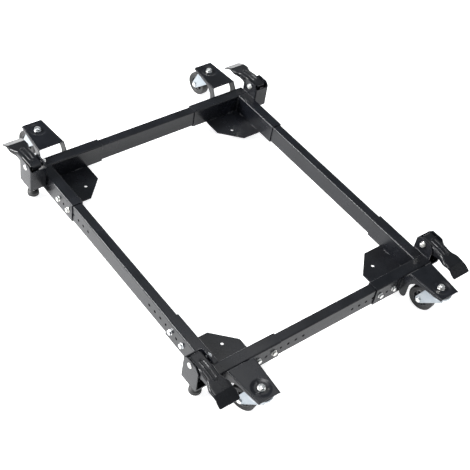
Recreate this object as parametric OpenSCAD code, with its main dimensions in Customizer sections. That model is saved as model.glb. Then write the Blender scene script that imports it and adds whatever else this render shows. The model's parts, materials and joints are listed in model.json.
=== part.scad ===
// Adjustable four-wheel mobile base. Four corner weldments slide on four
// inner rails; each corner has a swivel caster on a raised arm and a foot
// pedal that pushes down a rubber levelling foot.
// Origin: middle of the frame, on the floor. +X right, +Y back, +Z up.

/* [Frame] */
// Width over the outer faces of the sleeves
frame_w = 743; // [620:1:900]
// Length over the outer faces of the sleeves
frame_l = 876; // [720:1:1060]
// Height of the sleeves' underside above the floor
frame_clear = 28; // [22:1:40]
// Thickness of a sleeve seen from above
sleeve_t = 35; // [30:0.5:44]
// Height of a sleeve
sleeve_h = 62; // [50:0.5:76]
// Wall of the sleeve tube
sleeve_wall = 2.5; // [2:0.1:3.5]
// Reach of a sleeve from its corner along the width
sleeve_x = 205; // [190:1:230]
// Reach of a sleeve from its corner along the length
sleeve_y = 207; // [190:1:230]

/* [Rails] */
// Gap between a rail and its sleeve on each side
rail_gap = 0.5; // [0.3:0.1:1]
// Wall of the rail tube
rail_wall = 2; // [1.5:0.1:3]
// Length of a rail inside its sleeve
rail_lap = 96; // [80:1:120]
// Spacing of the setting holes
hole_pitch = 25; // [20:0.5:30]
// Distance from the sleeve's end to its first bolt
first_bolt = 19; // [14:0.5:22]
// Setting holes showing past each sleeve end
holes_out = 4; // [2:1:6]
// Diameter of the setting holes
set_hole_d = 8.4; // [8.2:0.1:9]
// Diameter of the setting bolts
set_bolt_d = 8; // [6:0.5:8]

/* [Corner plate] */
// Side of the square plate measured from the outer corner
plate_s = 155; // [130:1:180]
// Leg of the cut corner
plate_cut = 60; // [40:1:75]
// Thickness of the plate
plate_t = 3.5; // [2.5:0.5:6]
// Distance of the bolt hole from both outer faces
plate_hole = 106.5; // [90:0.5:115]
// Diameter of the bolt hole
plate_hole_d = 9; // [7:0.5:12]

/* [Caster arm] */
// Thickness of the arm sheet
arm_t = 3; // [2.5:0.25:4]
// Height of the arm's top above the sleeve's top
arm_up = 22; // [18:0.5:30]
// Distance of the arm's middle from the corner
arm_in = 63; // [55:1:80]
// Width of the arm where it meets the sleeve
arm_w0 = 84; // [74:1:96]
// Width of the arm at its tip
arm_w1 = 66; // [60:1:72]
// Reach of the arm beyond the sleeve
arm_reach = 127; // [118:1:140]
// Distance of the kingpin beyond the sleeve
king_out = 93; // [85:1:97]
// Diameter of the round recess pressed in the arm
recess_d = 46; // [40:1:54]
// Depth of that recess
recess_dp = 2.5; // [1.5:0.25:3]

/* [Caster] */
// Wheel diameter
wheel_d = 75; // [62:1:78]
// Wheel width
wheel_w = 24; // [20:0.5:28]
// Distance from the kingpin to the axle
trail = 40; // [32:1:42]
// Thickness of the fork sheet
fork_t = 2.5; // [2:0.25:3.5]
// Gap between the wheel and each fork leg
fork_gap = 1.5; // [1:0.25:3]
// Kingpin diameter
king_d = 10; // [8:1:12]
// Axle diameter
axle_d = 8; // [6:0.5:10]
// Diameter of the swivel bearing's upper race
race_d = 56; // [46:1:58]
// Ball diameter in the swivel
ball_d = 5; // [4:0.5:6]
// Swivel angle of each caster at rest, front left
yaw_fl = 106; // [60:1:120]
// Swivel angle, front right
yaw_fr = 98; // [60:1:120]
// Swivel angle, back left
yaw_bl = 98; // [60:1:120]
// Swivel angle, back right
yaw_br = 93; // [60:1:120]

/* [Pedal bracket] */
// Width of the bracket over its cheeks
brk_w = 50; // [46:1:60]
// Thickness of the bracket sheet
brk_t = 3; // [2.5:0.25:4]
// Distance of the bracket's web from the corner
brk_in = 72; // [66:1:84]
// Distance of the bracket's open end from the corner
brk_out = 10; // [6:1:14]
// Height of the cheeks above the sleeve's top
brk_up = 46; // [42:1:56]
// Depth of the bracket below the sleeve's top
brk_dn = 36; // [30:1:44]

/* [Pedal] */
// Distance of the pedal pin from the corner
pin_in = 43; // [38:1:47]
// Height of the pedal pin above the sleeve's top
pin_up = 32; // [28:0.5:33]
// Pedal pin diameter
pin_d = 10; // [8:0.5:12]
// Length of the pin standing past the inner cheek
pin_over = 11; // [4:0.5:14]
// Thickness of the pedal sheet
ped_t = 3; // [2.5:0.25:4]
// Gap between the pedal and each cheek of the bracket
ped_gap = 2; // [0.5:0.25:4]
// Width of the pedal's tread
ped_w1 = 60; // [52:1:66]
// Reach of the tread beyond the corner
ped_reach = 58; // [50:1:70]
// Length of the bent lip along the ground
lip_l = 30; // [20:1:36]
// Drop of the bent lip
lip_drop = 17; // [8:1:24]
// Depth of the pedal's side flanges
ped_flange = 15; // [13:0.5:17]
// Lever from the pin to the pressing bar
lever_r = 30; // [27:0.5:32]
// Diameter of the pressing bar
bar_d = 10; // [8:0.5:11]

/* [Levelling foot] */
// Distance of the foot from the corner
foot_in = 38; // [34:1:42]
// Height of the raised foot above the floor
foot_clear = 8; // [5:0.5:10]
// Diameter of the rubber foot
foot_d = 34; // [28:1:40]
// Height of the rubber foot
foot_h = 17; // [14:0.5:20]
// Diameter of the foot's stem
stem_d = 12; // [10:0.5:13]
// Spring wire diameter
wire_d = 2; // [1.5:0.1:2.2]
// Radial clearance of every turning or sliding shaft
run_c = 0.08; // [0.04:0.01:0.1]

/* [Hidden] */
$fn = 48;

// corner signs in the order front left, front right, back left, back right
SX = [-1, 1, -1, 1];
SY = [-1, -1, 1, 1];
YAW = [yaw_fl, yaw_fr, yaw_bl, yaw_br];

black = [0.13, 0.13, 0.14];
zinc = [0.78, 0.80, 0.82];
dark = [0.07, 0.07, 0.07];

// heights
zb = frame_clear;
zt = frame_clear + sleeve_h;
// rail section
rail_t = sleeve_t - 2*sleeve_wall - 2*rail_gap;
rail_h = sleeve_h - 2*sleeve_wall - 2*rail_gap;
// where the rail's middle line lies from the outer face
mid = sleeve_t/2;
// kingpin position and the stack under the arm
king_x = frame_w/2 - arm_in;
king_y = frame_l/2 + king_out;
z_arm = zt + arm_up;
z_rec = z_arm - recess_dp;
z_under = z_rec - arm_t;
race_t = 4;
z_race = z_under - race_t;
crown_gap = 2.2;
z_crown = z_race - crown_gap;
crown_t = 4;
race_r = race_d/2;
crown_r = race_r + 6;
ball_r = race_r - ball_d/2 - 3;
ball_z = z_race - crown_gap/2;
// washers and heads
washer_t = 2.5;
washer_r = king_d;
king_af = 1.6*king_d;
head_h = 0.62*king_d;
set_af = 1.625*set_bolt_d;
set_head = 5.3;
nut_t = 6.5;
// fork legs
leg_y = wheel_w/2 + fork_gap;
wheel_r = wheel_d/2;
hub_r = 0.66*wheel_r;
// pedal pin and lever
ped_w0 = brk_w - 2*brk_t - 2*ped_gap;
pin_z = zt + pin_up;
ang0 = 20;
press_deg = 30;
bar_y = lever_r*cos(ang0);
bar_z = -lever_r*sin(ang0);
press = lever_r*(sin(ang0 + press_deg) - sin(ang0));
cap_gap = 0.9;
cap_t = 3;
cap_top = pin_z + bar_z - bar_d/2 - cap_gap;
guide_t = 4;
guide_h = 18;
guide_top = zt - brk_dn + guide_h;
brk_x = brk_w/2;

module corner(i) {
  translate([SX[i]*frame_w/2, SY[i]*frame_l/2, 0])
    mirror([SX[i] < 0 ? 1 : 0, 0, 0])
      mirror([0, SY[i] < 0 ? 1 : 0, 0])
        children();
}

module caster(i) {
  translate([SX[i]*king_x, SY[i]*king_y, 0])
    rotate([0, 0, YAW[i]])
      children();
}

// a cylinder lying along X, Y
module xcyl(r, a, b) {
  translate([a, 0, 0]) rotate([0, 90, 0]) cylinder(r = r, h = b - a);
}

module ycyl(r, a, b) {
  translate([0, b, 0]) rotate([90, 0, 0]) cylinder(r = r, h = b - a);
}

// flat shape given in Y and Z, extruded along X from a to b
module yz_extrude(a, b) {
  translate([a, 0, 0]) rotate([90, 0, 90]) linear_extrude(b - a) children();
}

// ---- rails ----
// a rail along X, centred, open ended, holes through its outer wall at -Y
module rail(len, sleeve, off) {
  n = holes_out + 3;
  half = len/2 - sleeve + rail_lap;
  difference() {
    translate([-half, -rail_t/2, 0]) cube([2*half, rail_t, rail_h]);
    translate([-half - 1, -rail_t/2 + rail_wall, rail_wall])
      cube([2*half + 2, rail_t - 2*rail_wall, rail_h - 2*rail_wall]);
    for (s = [-1, 1])
      for (k = [0 : n - 1])
        translate([s*(half - rail_lap + first_bolt + 2*hole_pitch - k*hole_pitch), 0, rail_h/2])
          ycyl(set_hole_d/2, -rail_t, -rail_t/2 + rail_wall + 1);
  }
}

module rail_at(side) {
  z = zb + sleeve_wall + rail_gap;
  color(black)
    if (side == "front")
      translate([0, -frame_l/2 + mid, z]) rail(frame_w, sleeve_x);
    else if (side == "back")
      translate([0, frame_l/2 - mid, z]) rotate([0, 0, 180]) rail(frame_w, sleeve_x);
    else if (side == "left")
      translate([-frame_w/2 + mid, 0, z]) rotate([0, 0, -90]) rail(frame_l, sleeve_y);
    else
      translate([frame_w/2 - mid, 0, z]) rotate([0, 0, 90]) rail(frame_l, sleeve_y);
}

// ---- corner sleeves ----
module sleeve(i) {
  color(black) corner(i) difference() {
    union() {
      translate([-sleeve_x, -sleeve_t, zb]) cube([sleeve_x, sleeve_t, sleeve_h]);
      translate([-sleeve_t, -sleeve_y, zb]) cube([sleeve_t, sleeve_y, sleeve_h]);
    }
    translate([-sleeve_x - 1, -sleeve_t + sleeve_wall, zb + sleeve_wall])
      cube([sleeve_x + 1 - sleeve_wall, sleeve_t - 2*sleeve_wall, sleeve_h - 2*sleeve_wall]);
    translate([-sleeve_t + sleeve_wall, -sleeve_y - 1, zb + sleeve_wall])
      cube([sleeve_t - 2*sleeve_wall, sleeve_y - sleeve_t + 1, sleeve_h - 2*sleeve_wall]);
    for (k = [0 : 2]) {
      translate([-sleeve_x + first_bolt + k*hole_pitch, 0, zb + sleeve_h/2])
        ycyl(set_hole_d/2, -sleeve_wall - 1, 1);
      translate([0, -sleeve_y + first_bolt + k*hole_pitch, zb + sleeve_h/2])
        xcyl(set_hole_d/2, -sleeve_wall - 1, 1);
    }
  }
}

// ---- corner plates ----
module plate(i) {
  color(black) corner(i) difference() {
    translate([0, 0, zb]) linear_extrude(plate_t)
      polygon([[-sleeve_t, -sleeve_t], [-plate_s, -sleeve_t], [-plate_s, -plate_s + plate_cut],
        [-plate_s + plate_cut, -plate_s], [-sleeve_t, -plate_s]]);
    translate([-plate_hole, -plate_hole, zb - 1]) cylinder(d = plate_hole_d, h = plate_t + 2);
  }
}

// ---- caster arms ----
leg_dn = sleeve_h + 5;
arm_start = 13;
// the legs stop short of the circle that the swivelling wheel sweeps
leg_clear = 3;
leg_inner = arm_w0/2 - arm_t;
sweep_r = sqrt(pow(trail + wheel_d/2, 2) + pow(wheel_w/2, 2));
leg_w = king_out - sqrt(pow(sweep_r, 2) - pow(leg_inner, 2)) - leg_clear;
function arm_half(y) = (arm_w0 + (arm_w1 - arm_w0)*(y - arm_start)/(arm_reach - arm_start))/2;

module arm_plan(e) {
  polygon([[-arm_half(0) - e, 0], [arm_half(0) + e, 0],
    [arm_half(arm_reach) + e, arm_reach], [-arm_half(arm_reach) - e, arm_reach]]);
}

module arm_side() {
  union() {
    polygon([[arm_start, arm_up], [arm_reach, arm_up], [arm_reach, arm_up - 6],
      [52, arm_up - 12], [36, 2], [leg_w, -16], [leg_w, -leg_dn + leg_w/2],
      [0, -leg_dn + leg_w/2], [0, -6]]);
    translate([leg_w/2, -leg_dn + leg_w/2]) circle(r = leg_w/2);
  }
}

module arm(i) {
  color(black) corner(i) translate([-arm_in, 0, 0]) difference() {
    union() {
      // top sheet
      intersection() {
        translate([0, 0, zt]) linear_extrude(arm_up) arm_plan(0);
        translate([-arm_w0, arm_start, z_arm - arm_t]) cube([2*arm_w0, arm_reach, arm_t]);
      }
      // side flanges and legs
      intersection() {
        translate([0, 0, zb - 10]) linear_extrude(z_arm) difference() {
          arm_plan(0);
          arm_plan(-arm_t);
        }
        translate([0, 0, zt]) yz_extrude(-arm_w0, arm_w0) arm_side();
      }
      // pressed recess, seen from below
      translate([0, king_out, z_under]) cylinder(d = recess_d + 2*arm_t, h = recess_dp + 0.5);
    }
    translate([0, king_out, z_rec]) cylinder(d = recess_d, h = recess_dp + 1);
    translate([0, king_out, z_under - 1]) cylinder(d = king_d + 0.4, h = arm_t + 3);
  }
}

// ---- pedal brackets ----
module cheek() {
  polygon([[-brk_in, -brk_dn], [-brk_out, -brk_dn], [-brk_out, brk_up - 14],
    [-brk_out - 13, brk_up], [-brk_in + 13, brk_up], [-brk_in, brk_up - 14]]);
}

module bracket(i) {
  color(black) corner(i) difference() {
    union() {
      translate([0, 0, zt]) yz_extrude(0, brk_t) cheek();
      translate([0, 0, zt]) yz_extrude(brk_w - brk_t, brk_w) cheek();
      translate([0, -brk_in, zt - brk_dn]) cube([brk_w, brk_t, brk_dn + brk_up - 14]);
      translate([0, -brk_in, zt - brk_dn]) cube([brk_w, brk_in - brk_out, guide_t]);
      translate([brk_x, -foot_in, zt - brk_dn]) cylinder(r = stem_d/2 + 3.5, h = guide_h);
    }
    translate([brk_x, -foot_in, zt - brk_dn - 1]) cylinder(r = stem_d/2 + run_c, h = guide_h + 2);
    translate([0, -pin_in, pin_z]) xcyl(pin_d/2 + 0.03, -1, brk_w + 1);
  }
}

// ---- fasteners ----
module hexa(af, h) {
  cylinder(d = af/cos(30), h = h, $fn = 6);
}

// a setting bolt pointing along -Y from the outer face at y = 0
module set_bolt() {
  rotate([90, 0, 0]) cylinder(d = set_bolt_d, h = sleeve_wall + rail_gap + rail_wall + nut_t + 2);
  rotate([-90, 0, 0]) cylinder(d = 2.1*set_bolt_d, h = 1.6);
  translate([0, 1.6, 0]) rotate([-90, 0, 0]) hexa(set_af, set_head);
}

module set_nut() {
  translate([0, -sleeve_wall - rail_gap - rail_wall, 0]) rotate([90, 0, 0]) difference() {
    hexa(set_af, nut_t);
    translate([0, 0, -1]) cylinder(d = set_bolt_d + 0.02, h = nut_t + 2);
  }
}

module each_setting() {
  for (i = [0 : 3])
    for (k = [0, 2])
      corner(i) {
        translate([-sleeve_x + first_bolt + k*hole_pitch, 0, zb + sleeve_h/2]) children();
        translate([0, -sleeve_y + first_bolt + k*hole_pitch, zb + sleeve_h/2])
          rotate([0, 0, -90]) children();
      }
}

module rail_bolts() {
  color(zinc) each_setting() set_bolt();
}

module rail_nuts() {
  color(zinc) each_setting() set_nut();
}

king_nut_t = 0.8*king_d;
z_nut = z_crown - crown_t - 0.3 - king_nut_t;

module kingpins() {
  color(zinc) for (i = [0 : 3]) caster(i) {
    translate([0, 0, z_nut - 2]) cylinder(d = king_d, h = z_rec + washer_t - z_nut + 2);
    translate([0, 0, z_rec + washer_t]) hexa(king_af, head_h);
  }
}

module kingpin_washers() {
  color(zinc) for (i = [0 : 3]) caster(i) translate([0, 0, z_rec]) difference() {
    cylinder(r = washer_r, h = washer_t);
    translate([0, 0, -1]) cylinder(d = king_d + 0.04, h = washer_t + 2);
  }
}

module kingpin_nuts() {
  color(zinc) for (i = [0 : 3]) caster(i) translate([0, 0, z_nut]) difference() {
    hexa(king_af, king_nut_t);
    translate([0, 0, -1]) cylinder(d = king_d + 0.04, h = king_nut_t + 2);
  }
}

// ---- swivel bearing ----
module groove() {
  translate([0, 0, ball_z]) rotate_extrude() translate([ball_r, 0]) circle(d = ball_d + 0.2, $fn = 24);
}

module upper_races() {
  color(zinc) for (i = [0 : 3]) caster(i) difference() {
    translate([0, 0, z_race]) cylinder(r = race_r, h = race_t);
    translate([0, 0, z_race - 1]) cylinder(d = king_d + 0.04, h = race_t + 2);
    groove();
  }
}

module swivel_balls() {
  n = floor(2*PI*ball_r/(ball_d + 0.6));
  color(zinc) for (i = [0 : 3]) caster(i)
    for (k = [0 : n - 1])
      rotate([0, 0, 360*k/n]) translate([ball_r, 0, ball_z]) sphere(d = ball_d, $fn = 24);
}

// ---- forks, axles, wheels ----
boss_r = 12;
module fork_leg() {
  // runs from the crown back and down to the axle
  polygon([[-race_r + 3, z_crown - crown_t + 0.5], [race_r - 1, z_crown - crown_t + 0.5],
    [trail + boss_r, wheel_r + 3], [trail + boss_r*0.5, wheel_r - boss_r*0.8],
    [trail - boss_r*0.8, wheel_r - boss_r*0.6], [-race_r + 3, z_crown - 18]]);
  translate([trail, wheel_r]) circle(r = boss_r);
}

module fork(i) {
  color(zinc) caster(i) difference() {
    union() {
      translate([0, 0, z_crown - crown_t]) cylinder(r = crown_r, h = crown_t);
      for (s = [0, 1]) mirror([0, s, 0])
        translate([0, leg_y + fork_t, 0]) rotate([90, 0, 0]) linear_extrude(fork_t) fork_leg();
    }
    translate([0, 0, z_crown - crown_t - 1]) cylinder(r = king_d/2 + run_c, h = crown_t + 2);
    translate([trail, 0, wheel_r]) ycyl(axle_d/2 + 0.03, -leg_y - fork_t - 1, leg_y + fork_t + 1);
    groove();
  }
}

module axle(i) {
  y1 = leg_y + fork_t;
  color(zinc) caster(i) translate([trail, 0, wheel_r]) {
    ycyl(axle_d/2, -y1 - 7, y1);
    translate([0, y1, 0]) rotate([-90, 0, 0]) hexa(1.625*axle_d, 5);
    translate([0, -y1, 0]) rotate([90, 0, 0]) difference() {
      hexa(1.625*axle_d, 6);
      translate([0, 0, -1]) cylinder(d = axle_d - 0.5, h = 8);
    }
  }
}

module hub(i) {
  color([0.2, 0.2, 0.21]) caster(i) translate([trail, 0, wheel_r]) rotate([90, 0, 0]) difference() {
    union() {
      cylinder(r = hub_r, h = wheel_w - 5, center = true);
      cylinder(r = axle_d/2 + 5, h = wheel_w, center = true);
    }
    for (s = [0, 1]) mirror([0, 0, s]) translate([0, 0, wheel_w/2 - 6]) difference() {
      cylinder(r = hub_r - 3, h = 10);
      translate([0, 0, -1]) cylinder(r = axle_d/2 + 5, h = 12);
    }
    cylinder(r = axle_d/2 + run_c, h = wheel_w + 2, center = true);
  }
}

module tyre(i) {
  w = wheel_w/2;
  color(dark) caster(i) translate([trail, 0, wheel_r]) rotate([90, 0, 0]) rotate_extrude($fn = 96)
    polygon([[hub_r + 0.05, -w + 2.5], [wheel_r - 5, -w], [wheel_r - 1.5, -w + 2.2],
      [wheel_r, -w + 6], [wheel_r, w - 6], [wheel_r - 1.5, w - 2.2], [wheel_r - 5, w],
      [hub_r + 0.05, w - 2.5]]);
}

// ---- pedals ----
flare0 = 15;
flare1 = 44;
ped_back = 15;
tip_y = ped_reach + lip_l;
ped_z0 = pin_z + pin_d/2 + 3 + ped_t;
ped_z1 = zt + 33;
module pedal_plan(e) {
  a = ped_w0/2 - e;
  b = ped_w1/2 - e;
  polygon([[-a, -pin_in - ped_back], [a, -pin_in - ped_back], [a, flare0], [b, flare1],
    [b, tip_y + 1], [-b, tip_y + 1], [-b, flare1], [-a, flare0]]);
}

module pedal_top_line(d) {
  polygon([[-pin_in - ped_back, ped_z0 - d], [-brk_out, ped_z0 - d], [ped_reach, ped_z1 - d],
    [tip_y, ped_z1 - lip_drop - d], [tip_y + 1.4, ped_z1 - lip_drop - d + 2.6],
    [ped_reach + 1, ped_z1 + ped_t - d], [-brk_out, ped_z0 + ped_t - d],
    [-pin_in - ped_back, ped_z0 + ped_t - d]]);
}

module pedal(i) {
  color(black) corner(i) translate([brk_x, 0, 0]) difference() {
    union() {
      // tread sheet with its bent lip
      intersection() {
        translate([0, 0, zb]) linear_extrude(3*sleeve_h) pedal_plan(0);
        yz_extrude(-ped_w1, ped_w1) pedal_top_line(ped_t);
      }
      // side flanges, fading out before the lip
      intersection() {
        translate([0, 0, zb]) linear_extrude(3*sleeve_h) difference() {
          pedal_plan(0);
          pedal_plan(ped_t);
        }
        yz_extrude(-ped_w1, ped_w1)
          polygon([[-pin_in - ped_back + 4, ped_z0 - ped_flange], [-pin_in - ped_back + 0.1, ped_z0 - 1],
            [-brk_out, ped_z0 - 1], [ped_reach, ped_z1 - 1], [ped_reach, ped_z1 - 5],
            [flare1, ped_z1 - 8], [flare0, ped_z0 - ped_flange - 3], [0, ped_z0 - ped_flange - 4],
            [-pin_in, ped_z0 - ped_flange - 3]]);
      }
      // ears that carry the pin and the pressing bar
      for (s = [0, 1]) mirror([s, 0, 0]) yz_extrude(ped_w0/2 - ped_t, ped_w0/2) {
        translate([-pin_in, pin_z]) circle(r = pin_d/2 + 5);
        translate([-pin_in + bar_y, pin_z + bar_z]) circle(r = bar_d/2 + 1);
        polygon([[-pin_in, pin_z + 4], [-pin_in - 8, pin_z - 4], [-pin_in + bar_y - 5, pin_z + bar_z - 3.3],
          [-pin_in + bar_y + 6, pin_z + bar_z], [-pin_in + bar_y + 6, pin_z + 4]]);
      }
      translate([0, -pin_in + bar_y, pin_z + bar_z]) xcyl(bar_d/2, -ped_w0/2 + 0.5, ped_w0/2 - 0.5);
      // raised stiffening loop
      intersection() {
        translate([0, 0, zb]) linear_extrude(3*sleeve_h) loop2d();
        yz_extrude(-loop_w, loop_w) translate([0, loop_up]) pedal_top_line(ped_t);
      }
    }
    translate([0, -pin_in, pin_z]) xcyl(pin_d/2 + run_c, -ped_w0, ped_w0);
  }
}

loop_w = 12;
loop_rib = 2.6;
loop_up = 1.5;
module slot2d(r) {
  y0 = -pin_in + loop_w;
  y1 = ped_reach/3;
  translate([-r, y0]) square([2*r, y1 - y0]);
  translate([0, y0]) circle(r = r);
  translate([0, y1]) circle(r = r);
}

module loop2d() {
  difference() {
    slot2d(loop_w/2);
    slot2d(loop_w/2 - loop_rib);
  }
}

module pedal_pins() {
  color(zinc) for (i = [0 : 3]) corner(i) translate([0, -pin_in, pin_z]) {
    xcyl(pin_d/2, -pin_over, brk_w + 3);
    xcyl(pin_d/2 + 3, brk_w, brk_w + 4);
    xcyl(pin_d/2 + 2, -2.5, 0);
  }
}

// ---- levelling feet ----
module stem(i) {
  z0 = foot_clear + foot_h - 6;
  color(zinc) corner(i) {
    translate([brk_x, -foot_in, z0]) cylinder(d = stem_d, h = cap_top - cap_t - z0 + 0.5);
    translate([brk_x, -foot_in, foot_clear + foot_h]) hexa(1.5*stem_d, 5);
    translate([brk_x - ped_w0/2 + ped_t + 3, -pin_in - 8, cap_top - cap_t])
      cube([ped_w0 - 2*ped_t - 6, bar_y + bar_d/2 + 10, cap_t]);
  }
}

module foot(i) {
  r = foot_d/2;
  color(dark) corner(i) translate([brk_x, -foot_in, foot_clear]) difference() {
    rotate_extrude($fn = 72)
      polygon([[0, 0], [r - 3, 0], [r - 0.8, 1], [r, 3.2], [r, foot_h - 4], [r - 1.2, foot_h - 1.2],
        [r - 4, foot_h], [0, foot_h]]);
    translate([0, 0, foot_h - 6]) cylinder(d = stem_d + 0.04, h = 7);
  }
}

// return spring: a swept coil between the guide and the cap
coil_n = 5;
coil_r = stem_d/2 + wire_d/2 + 0.6;
coil_z0 = guide_top + wire_d/2 + 0.1;
coil_z1 = cap_top - cap_t - wire_d/2 - 0.1;
coil_steps = 14*coil_n;
coil_m = 6;
function coil_pt(k, j) = let(t = k/coil_steps, a = 360*coil_n*t, b = 360*j/coil_m,
  q = coil_r + wire_d/2*cos(b))
  [q*cos(a), q*sin(a), coil_z0 + (coil_z1 - coil_z0)*t + wire_d/2*sin(b)];

module spring(i) {
  m = coil_m;
  pts = [for (k = [0 : coil_steps]) for (j = [0 : m - 1]) coil_pt(k, j)];
  sides = [for (k = [0 : coil_steps - 1]) for (j = [0 : m - 1])
    let(a = k*m + j, b = k*m + (j + 1) % m) [a, a + m, b + m, b]];
  ends = [[for (j = [0 : m - 1]) j], [for (j = [m - 1 : -1 : 0]) coil_steps*m + j]];
  color(zinc) corner(i) translate([brk_x, -foot_in, 0])
    polyhedron(points = pts, faces = concat(sides, ends));
}

rail_at("front");  // rail_front
rail_at("back");  // rail_back
rail_at("left");  // rail_left
rail_at("right");  // rail_right
sleeve(0);  // sleeve_fl
sleeve(1);  // sleeve_fr
sleeve(2);  // sleeve_bl
sleeve(3);  // sleeve_br
plate(0);  // plate_fl
plate(1);  // plate_fr
plate(2);  // plate_bl
plate(3);  // plate_br
arm(0);  // arm_fl
arm(1);  // arm_fr
arm(2);  // arm_bl
arm(3);  // arm_br
bracket(0);  // bracket_fl
bracket(1);  // bracket_fr
bracket(2);  // bracket_bl
bracket(3);  // bracket_br
rail_bolts();
rail_nuts();
kingpins();
kingpin_washers();
kingpin_nuts();
upper_races();
swivel_balls();
pedal_pins();
fork(0);  // fork_fl
fork(1);  // fork_fr
fork(2);  // fork_bl
fork(3);  // fork_br
axle(0);  // axle_fl
axle(1);  // axle_fr
axle(2);  // axle_bl
axle(3);  // axle_br
tyre(0);  // tyre_fl
tyre(1);  // tyre_fr
tyre(2);  // tyre_bl
tyre(3);  // tyre_br
hub(0);  // hub_fl
hub(1);  // hub_fr
hub(2);  // hub_bl
hub(3);  // hub_br
pedal(0);  // pedal_fl
pedal(1);  // pedal_fr
pedal(2);  // pedal_bl
pedal(3);  // pedal_br
stem(0);  // stem_fl
stem(1);  // stem_fr
stem(2);  // stem_bl
stem(3);  // stem_br
foot(0);  // foot_fl
foot(1);  // foot_fr
foot(2);  // foot_bl
foot(3);  // foot_br
spring(0);  // spring_fl
spring(1);  // spring_fr
spring(2);  // spring_bl
spring(3);  // spring_br
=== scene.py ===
# %% [markdown]
# # A mobile base for workshop machines
# This lesson dresses a rectangular steel base: four welded corner pieces
# slide on four rails, each corner has a swivel caster under a raised arm,
# and a foot pedal that lowers a rubber foot. The sizes come from a CAD
# model, which loads first. Its pieces are made again here with the bends,
# beads, chamfers and wear of pressed and welded steel.

# %% Load the CAD model as a fixed frame
import bpy, bmesh, json, math
from mathutils import Matrix, Vector, geometry


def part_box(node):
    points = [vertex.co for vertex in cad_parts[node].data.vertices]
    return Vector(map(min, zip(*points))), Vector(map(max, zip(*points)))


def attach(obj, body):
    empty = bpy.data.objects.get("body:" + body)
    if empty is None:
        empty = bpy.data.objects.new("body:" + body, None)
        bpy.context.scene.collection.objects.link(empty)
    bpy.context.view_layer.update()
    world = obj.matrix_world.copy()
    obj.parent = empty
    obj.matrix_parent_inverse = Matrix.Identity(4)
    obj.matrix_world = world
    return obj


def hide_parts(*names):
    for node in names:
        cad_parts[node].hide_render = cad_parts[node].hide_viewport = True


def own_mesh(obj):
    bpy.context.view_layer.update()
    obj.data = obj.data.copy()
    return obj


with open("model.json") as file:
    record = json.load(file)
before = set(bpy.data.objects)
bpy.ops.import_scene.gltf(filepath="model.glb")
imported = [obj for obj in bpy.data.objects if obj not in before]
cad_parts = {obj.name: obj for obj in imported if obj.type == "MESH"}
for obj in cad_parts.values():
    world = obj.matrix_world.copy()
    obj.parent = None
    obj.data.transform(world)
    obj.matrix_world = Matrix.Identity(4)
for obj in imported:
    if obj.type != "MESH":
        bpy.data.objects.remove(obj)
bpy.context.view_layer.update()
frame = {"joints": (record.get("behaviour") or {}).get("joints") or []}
JOINTS = {j["name"]: j for j in frame["joints"]}
CORNERS = ("fl", "fr", "bl", "br")
SIDE = {"fl": (-1, -1), "fr": (1, -1), "bl": (-1, 1), "br": (1, 1)}

# %% [markdown]
# ## The camera
# The base is seen from its front left, halfway between level and overhead,
# with the camera tipped a little to one side. A long lens keeps the far
# rails almost parallel to the near ones, as in a catalogue picture.

# %% Place the camera
def place_camera(azimuth, elevation, roll, distance, target, lens):
    az, el, ro = (math.radians(v) for v in (azimuth, elevation, roll))
    back = Vector((math.sin(az) * math.cos(el), -math.cos(az) * math.cos(el), math.sin(el)))
    right = (-back).cross(Vector((0, 0, 1))).normalized()
    up = right.cross(-back)
    tilted_right = right * math.cos(ro) + up * math.sin(ro)
    tilted_up = up * math.cos(ro) - right * math.sin(ro)
    data = bpy.data.cameras.new("camera")
    data.lens = lens
    data.sensor_width = 36
    data.clip_end = 30
    obj = bpy.data.objects.new("camera", data)
    bpy.context.scene.collection.objects.link(obj)
    m = Matrix((tilted_right, tilted_up, back)).transposed().to_4x4()
    m.translation = target + back * distance
    obj.matrix_world = m
    bpy.context.scene.camera = obj
    return obj


top_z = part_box("sleeve_fl")[1].z
camera = place_camera(-44.79, 45.21, 10.85, 2.7213, Vector((-0.0452, -0.0822, top_z)), 76.25)
print("camera at", [round(v, 3) for v in camera.location], "lens", camera.data.lens)

# %% [markdown]
# ## Light and floor
# Black paint shows its shape through what it reflects. Upright faces
# mirror the white floor, and level faces mirror the sky behind the base.
# So the floor glows a little and the sky is kept dim overhead. One strong
# strip lamp stands low behind on the left, where the round bends can mirror
# it. Four weak lamps, two in front and two overhead, lift the darkest parts.

# %% Light the studio
def soft_lamp(name, where, aim, size, watts):
    data = bpy.data.lights.new(name, "AREA")
    data.shape = "RECTANGLE"
    data.size, data.size_y = size
    data.energy = watts
    obj = bpy.data.objects.new(name, data)
    bpy.context.scene.collection.objects.link(obj)
    obj.location = where
    obj.rotation_euler = (Vector(aim) - Vector(where)).to_track_quat("-Z", "Y").to_euler()
    return obj


def studio_sky(zenith, horizon):
    """A dim blue-grey ceiling that brightens to white where it meets the floor."""
    world = bpy.data.worlds.new("studio")
    world.use_nodes = True
    nodes, links = world.node_tree.nodes, world.node_tree.links
    sky = nodes["Background"]
    where = nodes.new("ShaderNodeTexCoord")
    axes = nodes.new("ShaderNodeSeparateXYZ")
    fade = nodes.new("ShaderNodeValToRGB")
    links.new(where.outputs["Generated"], axes.inputs[0])
    links.new(axes.outputs["Z"], fade.inputs[0])
    links.new(fade.outputs["Color"], sky.inputs["Color"])
    fade.color_ramp.elements[0].position, fade.color_ramp.elements[1].position = 0.06, 0.36
    fade.color_ramp.elements[0].color = (horizon, horizon, horizon, 1)
    fade.color_ramp.elements[1].color = (zenith * 0.84, zenith * 0.93, zenith, 1)
    bpy.context.scene.world = world


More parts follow.
